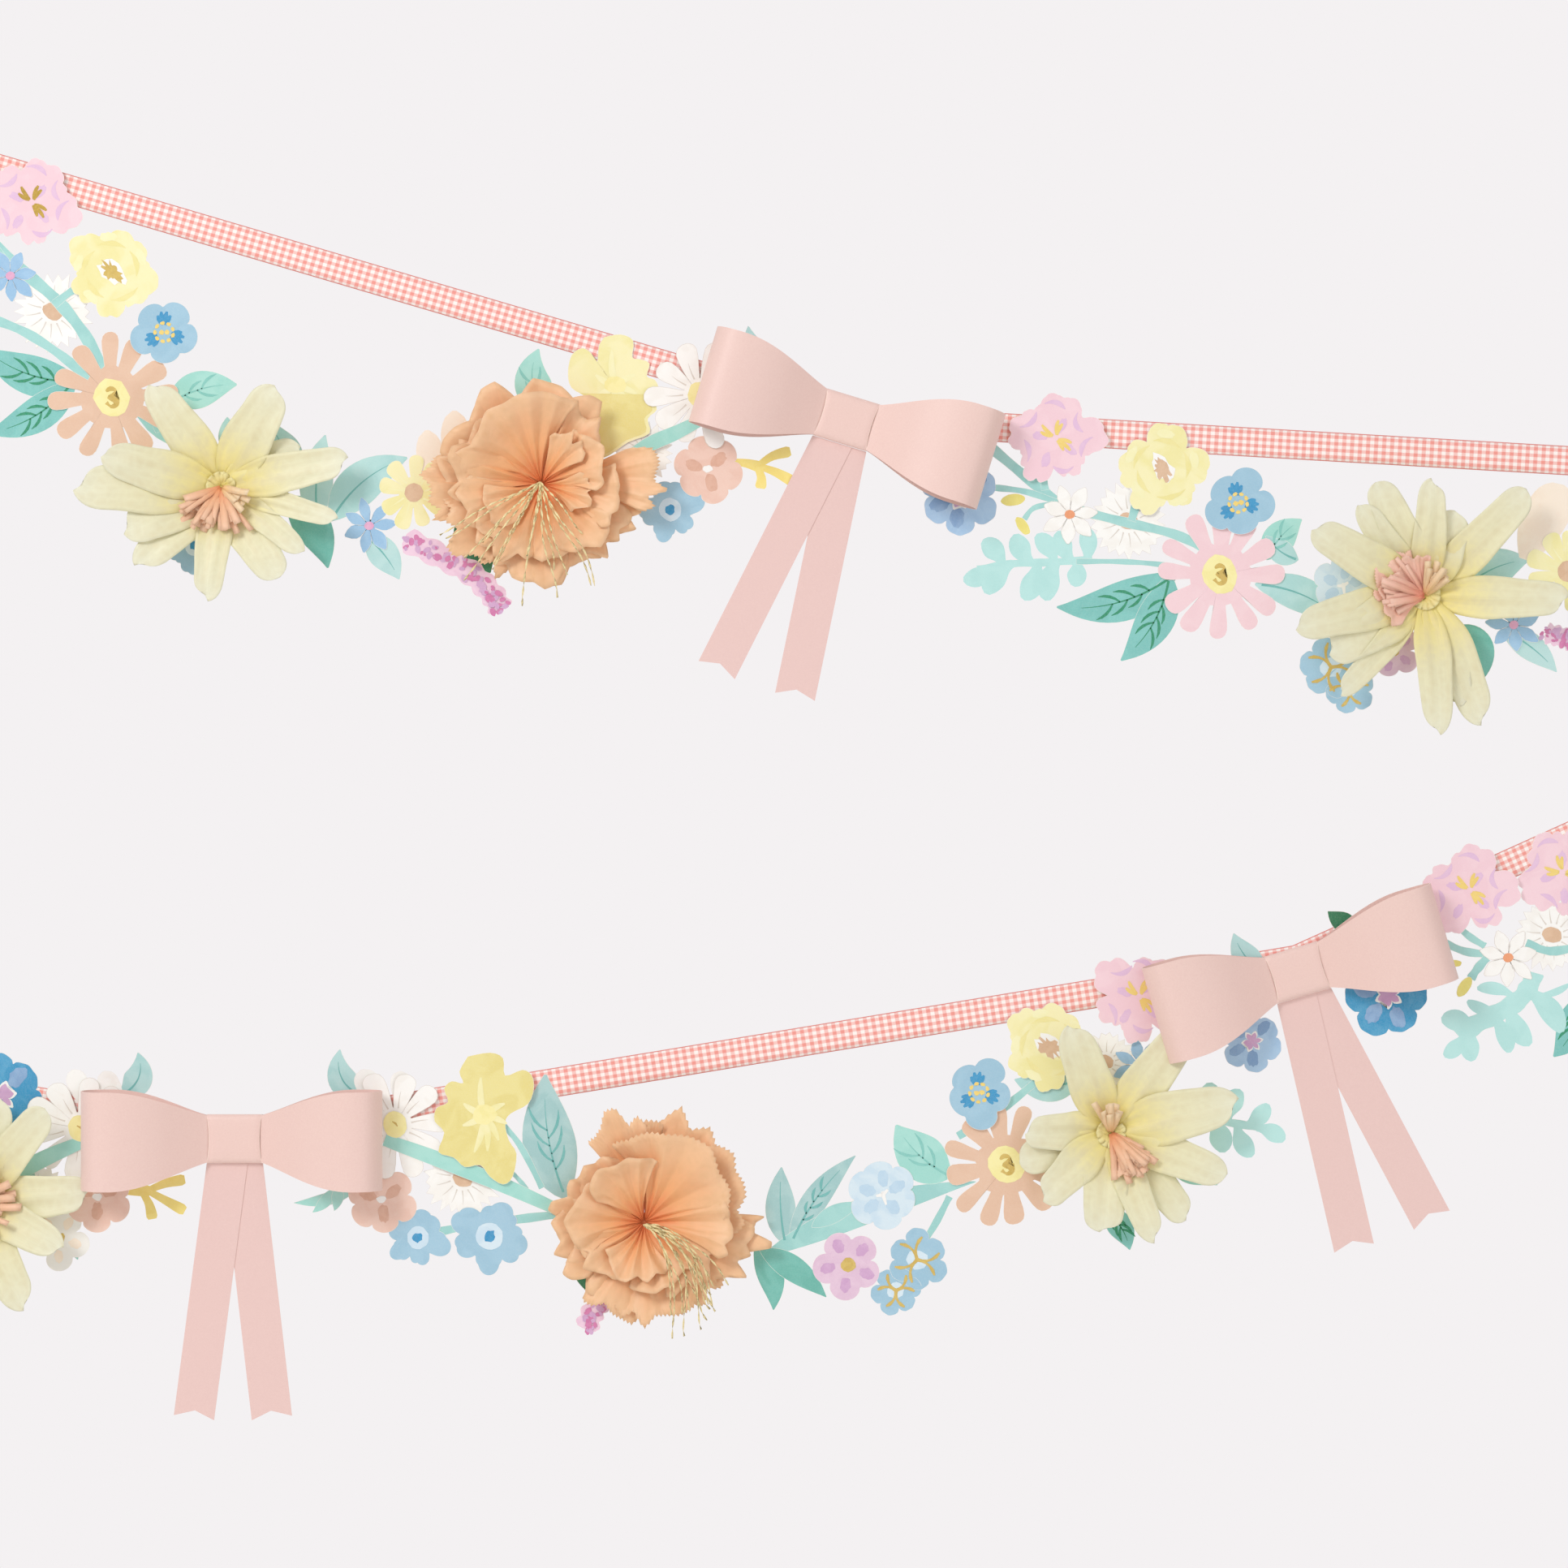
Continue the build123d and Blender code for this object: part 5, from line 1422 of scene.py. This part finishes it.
# Die-cut flowers that are parts of their own: kind, radius in mm, place, turn, pads, other words
CARD_FLOWERS = {
    "swag_a_peony": ("peony", 23.5, (40, 250), 0, 2, {"stamens": "gold foil"}),
    "swag_a_yellow_rose": ("rose", 23.5, (138, 335), 10, 1, {}),
    "swag_a_blue_pansy": ("pansy", 17.5, (203, 410), 20, 2, {}),
    "swag_a_peach_daisy": ("large_daisy", 33, (138, 490), 5, 0, {"petal": "peach petal"}),
    "swag_a_white_daisy": ("white_daisy", 28.0, (862, 487), 0, 1, {}),
    "swag_a_salmon_pansy": ("salmon_pansy", 17.5, (872, 578), 15, 0, {}),
    "swag_b_blue_pansy": ("bright_blossom", 20, (1183, 612), 0, 0, {"petal": "sky petal", "mark": "steel petal"}),
    "swag_b_peony": ("peony", 23.5, (1300, 540), 12, 2, {}),
    "swag_b_yellow_rose": ("rose", 23.5, (1432, 578), 0, 1, {"heart": "tan centre"}),
    "swag_b_pink_daisy": ("large_daisy", 33, (1503, 708), 0, 0, {"petal": "rose petal"}),
    "swag_b_bright_pansy": ("pansy", 17.5, (1525, 620), 30, 2, {}),
    "swag_c_white_daisy": ("white_daisy", 28.0, (99, 1390), 10, 1, {}),
    "swag_c_salmon_pansy": ("salmon_pansy", 17.5, (120, 1475), 0, 0, {}),
    "swag_d_white_daisy": ("white_daisy", 28.0, (487, 1385), 6, 1, {}),
    "swag_d_salmon_pansy": ("salmon_pansy", 17.5, (470, 1478), 10, 0, {}),
    "swag_d_yellow_blossom": ("blossom", 24.5, (597, 1374), 0, 2, {"edge": "broad", "petal": "ripe petal"}),
    "swag_d_peach_daisy": ("large_daisy", 33, (1240, 1435), 12, 0, {"petal": "peach petal"}),
    "swag_d_blue_pansy": ("pansy", 17.5, (1206, 1346), 25, 2, {}),
    "swag_d_yellow_rose": ("rose", 23.5, (1293, 1290), 20, 1, {"heart": "tan centre"}),
    "swag_d_peony": ("peony", 23.5, (1403, 1228), 0, 2, {}),
    "swag_e_peony": ("peony", 23.5, (1810, 1097), 6, 2, {}),
}
SWAG_BODIES = {"a": "upper_left", "b": "upper_right", "c": "lower_left", "d": "lower_middle", "e": "upper_right"}
CARD_SLOTS = {
    "peony": "pink_card",
    "rose": "yellow_card",
    "blossom": "yellow_card",
    "pansy": "blue_card",
    "large_daisy": "peach_card",
    "white_daisy": "white_card",
    "salmon_pansy": "peach_card",
    "bright_blossom": "blue_card",
}
# A card's curl, by how many pads it stands on
PAD_CURLS = (0.15, 0.3, 1.0)


def card_flowers():
    """Each printed flower on its pads."""
    for seed, (node, (kind, radius, middle, turn, pads, words)) in enumerate(CARD_FLOWERS.items(), 5):
        pile = Pile()
        seat = Seat(middle, turn, CARD * 2 + pads * PAD, PAD_CURLS[pads])
        KINDS[kind](Bloom(pile, seat, radius, seed), **words)
        pile.build(f"{node}_card", SWAG_BODIES[node[5]], (node,), CARD_SLOTS[kind])


# What each swag's base carries, in pixels, from the back to the front.
# Leaves: style, foot, tip, width and sometimes bend. Stems: places and width. Flowers and buds: place, radius, turn.
BASES = {
    "a": {
        "leaves": [
            ("dark", (102, 470), (-22, 428), 50), ("dark", (92, 468), (-16, 534), 44),
            ("mint", (208, 498), (292, 474), 46), ("aqua", (376, 574), (334, 518), 36),
            ("aqua", (300, 560), (280, 514), 34), ("teal", (352, 612), (404, 700), 46),
            ("pale", (392, 642), (401, 536), 42), ("aqua", (408, 642), (502, 564), 52),
            ("pale", (450, 660), (492, 714), 38), ("mint", (250, 640), (206, 560), 30),
            ("forest", (560, 650), (604, 706), 44), ("cream", (560, 640), (526, 530), 36),
            ("cream", (584, 620), (560, 506), 38), ("mint", (680, 508), (664, 430), 46, 0.2),
            ("aqua", (958, 474), (922, 402), 34), ("aqua", (704, 540), (727, 484), 22),
        ],
        "stems": [
            ([(-20, 290), (30, 335), (72, 372), (104, 412), (128, 456)], 15),
            ([(-12, 392), (32, 410), (78, 440), (112, 470)], 12), ([(66, 376), (90, 358), (112, 350)], 10),
            ([(-10, 300), (14, 330), (26, 350)], 9), ([(150, 470), (186, 526), (246, 560)], 12),
            ([(190, 530), (214, 520), (240, 524)], 9),
        ],
        "small": [
            ("ringed_blue", (240, 672), 34, 10), ("cornflower", (65, 384), 50, 0),
            ("cornflower", (792, 556), 40, 12), ("ringed_blue", (826, 628), 38, 30), ("star", (13, 340), 35, 12),
            ("star", (455, 648), 35, 0), ("yellow_daisy", (510, 607), 46, 8), ("blossom", (758, 476), 56, 0),
        ],
        "lilac": ([(498, 664), (540, 684), (580, 706), (606, 732), (618, 752)], 34),
        "sprig": [
            [(902, 569), (920, 571), (938, 576)], [(934, 574), (952, 562), (974, 556)],
            [(936, 575), (956, 582), (978, 594)], [(932, 574), (938, 588), (937, 602)],
        ],
        "strap": ([(772, 566), (800, 548), (832, 534), (864, 518)], 19),
    },
    "b": {
        "leaves": [
            ("dark", (1450, 706), (1302, 748), 50), ("dark", (1441, 708), (1381, 814), 48),
            ("mint", (1560, 690), (1604, 640), 40), ("teal", (1800, 770), (1822, 842), 48),
            ("aqua", (1800, 730), (1884, 690), 52), ("pale", (1850, 776), (1918, 828), 34),
            ("cream", (1880, 690), (1930, 600), 56), ("aqua", (1600, 690), (1560, 660), 30),
            ("aqua", (1546, 720), (1660, 772), 44),
        ],
        "stems": [
            ([(1212, 544), (1262, 586), (1310, 624)], 13), ([(1226, 601), (1264, 606), (1306, 620)], 8),
            ([(1262, 640), (1274, 626), (1300, 620)], 7), ([(1282, 566), (1288, 604)], 10),
            ([(1326, 628), (1380, 642), (1446, 658), (1484, 676)], 12),
            ([(1404, 600), (1400, 620), (1394, 642)], 11),
            ([(1326, 692), (1378, 692), (1424, 695), (1468, 702)], 7),
        ],
        "small": [
            ("cornflower", (1390, 642), 50, 10),
            ("star", (1318, 634), 37, 5, {"petal": "white petal", "dot": "orange centre"}),
            ("ice_blossom", (1655, 722), 38, 0), ("anemone", (1640, 822), 40, 20), ("anemone", (1662, 848), 32, 50),
            ("violet", (1716, 802), 32, 0), ("star", (1865, 770), 35, 20), ("yellow_daisy", (1932, 704), 52, 0),
        ],
        "lilac": ([(1904, 780), (1920, 784), (1936, 790), (1950, 800)], 28),
        "buds": [((1248, 616), 15, 8), ((1260, 648), 13, -55)],
        "branch": (
            [(1346, 690), (1290, 693), (1244, 695), (1204, 702)],
            [
                ((1236, 696), (1210, 667), 26), ((1272, 694), (1252, 658), 26), ((1300, 693), (1276, 660), 24),
                ((1322, 692), (1306, 654), 24), ((1338, 692), (1336, 650), 22), ((1226, 698), (1187, 714), 24),
                ((1248, 694), (1216, 732), 28), ((1278, 692), (1260, 738), 28), ((1304, 690), (1291, 740), 28),
                ((1326, 690), (1322, 722), 24),
            ],
            10,
        ),
    },
    "c": {
        "leaves": [
            ("aqua", (148, 1350), (170, 1297), 36, -0.22), ("white", (112, 1362), (90, 1318), 26),
            ("white", (150, 1360), (128, 1320), 26), ("mint", (40, 1440), (-10, 1500), 34),
            ("plain", (60, 1500), (96, 1552), 26),
        ],
        "small": [
            ("cornflower", (45, 1475), 44, 0),
            ("violet", (72, 1526), 37, 20, {"petal": "plain card", "mark": "cream petal"}),
            ("bright_blossom", (2, 1350), 54, 10),
        ],
        "sprig": [
            [(154, 1468), (168, 1468), (186, 1467)], [(182, 1467), (204, 1458), (228, 1453)],
            [(184, 1468), (206, 1480), (228, 1492)], [(176, 1470), (184, 1484), (188, 1502)],
            [(180, 1467), (174, 1460), (166, 1452)],
        ],
        "strap": ([(-14, 1470), (20, 1446), (62, 1424), (104, 1406)], 21),
    },
    "d": {
        "leaves": [
            ("aqua", (450, 1352), (419, 1293), 36, 0.22), ("white", (470, 1362), (446, 1318), 30),
            ("white", (500, 1362), (494, 1320), 26), ("plain", (440, 1464), (362, 1482), 16),
            ("plain", (412, 1464), (385, 1494), 15), ("plain", (416, 1460), (412, 1492), 15),
            ("veined", (698, 1478), (672, 1324), 66), ("forest", (716, 1546), (728, 1596), 34),
            ("grey", (968, 1534), (963, 1438), 38), ("veined", (974, 1534), (1054, 1424), 32),
            ("strap", (940, 1548), (1202, 1456), 34), ("strap", (1000, 1512), (1062, 1482), 22),
            ("teal", (930, 1532), (953, 1614), 34), ("deep", (936, 1540), (1018, 1598), 32),
            ("mint", (1172, 1450), (1104, 1386), 58), ("aqua", (1330, 1330), (1250, 1330), 40),
            ("mint", (1440, 1440), (1500, 1460), 30), ("dark", (1360, 1490), (1392, 1540), 32),
            ("aqua", (1560, 1200), (1520, 1150), 34),
        ],
        "stems": [
            ([(610, 1376), (640, 1410), (668, 1464)], 8), ([(626, 1440), (640, 1454), (656, 1474)], 6),
            ([(530, 1520), (580, 1510), (640, 1502), (690, 1496)], 11),
            ([(1126, 1548), (1150, 1512), (1170, 1474)], 9), ([(1542, 1260), (1537, 1240), (1526, 1206)], 10),
            ([(1180, 1400), (1230, 1370), (1280, 1330)], 10),
        ],
        "small": [
            ("ringed_blue", (603, 1523), 46, 20), ("ringed_blue", (515, 1525), 37, 0),
            ("cornflower", (570, 1452), 50, 6), ("ice_blossom", (1088, 1472), 43, 10),
            ("anemone", (1130, 1552), 38, 0), ("anemone", (1104, 1590), 30, 40), ("violet", (1045, 1558), 42, 10),
            ("cornflower", (1362, 1308), 40, 0), ("star", (1404, 1312), 34, 0),
            ("bright_blossom", (1543, 1283), 38, 10, {"petal": "sky petal", "mark": "steel petal"}),
        ],
        "lilac": ([(752, 1578), (742, 1598), (730, 1618), (722, 1638)], 32),
        "branch": (
            [(1420, 1370), (1470, 1376), (1520, 1384), (1556, 1390)],
            [
                ((1480, 1376), (1490, 1334), 28), ((1512, 1382), (1530, 1344), 26),
                ((1534, 1388), (1562, 1360), 22), ((1492, 1380), (1506, 1420), 28),
                ((1524, 1386), (1544, 1424), 24), ((1548, 1390), (1582, 1406), 22),
            ],
            10,
        ),
        "strap": ([(474, 1404), (540, 1428), (616, 1458), (692, 1492)], 20),
    },
    "e": {
        "leaves": [("dark", (1950, 1222), (1914, 1302), 46), ("forest", (1674, 1144), (1636, 1123), 26)],
        "stems": [
            ([(1776, 1160), (1804, 1172), (1834, 1176)], 10), ([(1788, 1132), (1808, 1152), (1830, 1166)], 9),
            ([(1880, 1162), (1910, 1172), (1946, 1166)], 11), ([(1812, 1206), (1820, 1194), (1832, 1180)], 11),
            ([(1707, 1208), (1701, 1186), (1694, 1156)], 10),
        ],
        "small": [
            ("cornflower", (1912, 1152), 48, 10), ("peony", (1925, 1075), 56, 40, {}),
            ("bright_blossom", (1711, 1226), 52, 30),
            ("star", (1858, 1180), 38, 10, {"petal": "white petal", "dot": "orange centre"}),
        ],
        "buds": [((1804, 1216), 14, 57), ((1792, 1187), 9, 0)],
        "branch": (
            [(1890, 1198), (1884, 1216), (1870, 1233), (1842, 1250), (1815, 1264), (1798, 1278)],
            [
                ((1866, 1228), (1820, 1218), 16), ((1848, 1246), (1808, 1233), 15),
                ((1816, 1266), (1776, 1257), 26), ((1804, 1274), (1779, 1301), 20),
                ((1814, 1266), (1815, 1307), 24), ((1838, 1252), (1859, 1297), 22),
                ((1860, 1238), (1886, 1287), 26), ((1880, 1220), (1924, 1272), 28), ((1890, 1226), (1934, 1212), 9),
            ],
            24,
        ),
    },
}
# The small flowers that lie under the leaves
UNDER_LEAVES = ("cornflower", "peony", "bright_blossom")
# How high each kind of piece lies on a base, and how much higher each next one
LAYERS = {
    "under": 0.14, "leaf": 0.24, "branch": 0.30, "stem": 0.36, "flower": 0.44, "sprig": 0.50, "lilac": 0.55,
    "bud": 0.6, "strap": 1.95,
}
FLOWER_RISE, LEAF_RISE, STEM_RISE = 0.006, 0.004, 0.003


def small_flowers(pile, swag, step, under, height, curl):
    """The small flowers under or over the leaves, each a little higher than the one before. Gives the next step."""
    for kind, place, radius, turn, *words in BASES[swag]["small"]:
        if (kind in UNDER_LEAVES) == under:
            bloom = Bloom(pile, Seat(place, turn, height + step * FLOWER_RISE, curl), radius * PIXEL, step + ord(swag))
            KINDS[kind](bloom, **(words[0] if words else {}))
            step += 1
    return step


def swag_base(swag):
    """The flat cards glued straight to the ribbon: leaves, stems and small flowers."""
    base, pile = BASES[swag], Pile()
    step = small_flowers(pile, swag, 0, True, LAYERS["under"], curl=0.1)
    for style, foot, tip, width, *bend in base["leaves"]:
        leaf(pile, style, foot, tip, width, LAYERS["leaf"] + step * LEAF_RISE, *bend)
        step += 1
    for places, width in base.get("stems", ()):
        stem(pile, places, width, LAYERS["stem"] + step * STEM_RISE)
        step += 1
    if "branch" in base:
        branch(pile, *base["branch"], LAYERS["branch"])
    small_flowers(pile, swag, step, False, LAYERS["flower"], curl=0.35)
    sprig(pile, base.get("sprig", ()), LAYERS["sprig"])
    if "lilac" in base:
        lilac(pile, *base["lilac"], LAYERS["lilac"])
    for seed, (place, radius, turn) in enumerate(base.get("buds", ())):
        bud = Bloom(pile, Seat(place, turn, LAYERS["bud"], 0.5), radius * PIXEL, seed)
        bud.petals(bud.oval(1, 0.5, 0, 20, 0.04), "bud yellow")
    add_to_swag(pile, swag, "flat_cards", "base", "printed_card")
    if "strap" in base:
        places, width = base["strap"]
        line = trail(places)
        shares = [0.12 + 0.8 * i / (len(line) - 1) for i in range(len(line))]
        widths = [width * PIXEL * (0.6 + 0.4 * math.sin(math.pi * share)) for share in shares]
        pile = Pile()
        pile.flat_card(LAYERS["strap"], stroke(line, widths), "mint leaf", 0.3)
        pile.build(f"swag_{swag}_mint_strap", SWAG_BODIES[swag])


def swags():
    """The bases first, then the flowers, the tissue and the tinsel on them."""
    for swag in BASES:
        swag_base(swag)
    card_flowers()
    for swag in TISSUE_DAISIES:
        tissue_daisy(swag)
        fringe(swag)
    for swag in POMPOMS:
        pompom(swag)
        tinsel(swag)


def foam_pads():
    """The sticky pads stay as they are and get their foam."""
    for piece in bpy.data.objects:
        if piece.name.startswith("foam_pads"):
            piece.data.materials.clear()
            piece.data.materials.append(FINISHES["foam"])


# Stage
STAGE_MIDDLE = (0.42, 0, -0.32)
# The light that the room gives, how strong it is, and the colour that the camera sees
ROOM_LIGHT, ROOM_STRENGTH, ROOM_SEEN = (252, 250, 250), 0.66, (244, 241, 242)
# Lamps: size, power and place
LAMPS = {
    "window": (0.8, 27, (-1.05, -1.9, 0.95)),
    "fill": (1.6, 6, (1.7, -1.8, -0.2)),
    "behind": (1.4, 12, (0.9, 2.2, 0.6)),
}
TABLE_MIDDLE, TABLE_RADIUS, TABLE_TOP, TABLE_UNDER, TABLE_CORNERS = 0.4186, 1.3, -1.0, -1.03, 72
CAMERA_PLACE = (0.4186, -2.2407, -0.3204)


def background():
    """Near-white all round, as the camera sees it, and an even light on the paper."""
    world = bpy.data.worlds.new("pale room")
    bpy.context.scene.world = world
    world.use_nodes = True
    graph, nodes = Graph(world.node_tree), world.node_tree.nodes
    graph.feed(nodes["Background"], {"Color": linear(ROOM_LIGHT), "Strength": ROOM_STRENGTH})
    seen = graph.add("Background", {"Color": linear(ROOM_SEEN)})
    path = graph.add("LightPath", {}).outputs
    direct = graph.maths("MAXIMUM", path["Is Camera Ray"], path["Is Transmission Ray"])
    inputs = {0: direct, 1: nodes["Background"].outputs[0], 2: seen.outputs[0]}
    graph.feed(nodes["World Output"], {"Surface": graph.add("MixShader", inputs).outputs[0]})


def lamps():
    """Soft lamps that look at the garland's middle."""
    for name, (size, power, place) in LAMPS.items():
        data = bpy.data.lights.new(name, "AREA")
        data.shape, data.size, data.energy = "SQUARE", size, power
        piece = stand(name, data)
        piece.location = place
        piece.rotation_euler = (Vector(STAGE_MIDDLE) - Vector(place)).to_track_quat("-Z", "Y").to_euler()


def floor():
    """A pale round table top well below the garland."""
    mesh = bpy.data.meshes.new("table_top")
    count = TABLE_CORNERS
    rim = [around(2 * math.pi * i / count, TABLE_RADIUS) for i in range(count)]
    corners = [(TABLE_MIDDLE + x, y, z) for z in (TABLE_TOP, TABLE_UNDER) for x, y in rim]
    faces = [tuple(range(count)), tuple(range(2 * count - 1, count - 1, -1))]
    faces += [(i, count + i, count + (i + 1) % count, (i + 1) % count) for i in range(count)]
    mesh.from_pydata(corners, [], faces)
    mesh.materials.append(FINISHES["plain card"])
    stand("table_top", mesh)


def camera():
    """Square in front of the garland, as the picture sees it."""
    data = bpy.data.cameras.new("front")
    data.lens, data.sensor_width = 100, 36
    piece = stand("front", data)
    piece.location = CAMERA_PLACE
    piece.rotation_euler = (math.radians(90), 0, 0)
    bpy.context.scene.camera = piece


def main():
    bpy.context.scene.view_settings.view_transform = "Standard"
    ribbons()
    bows()
    swags()
    foam_pads()
    background()
    lamps()
    floor()
    camera()


main()
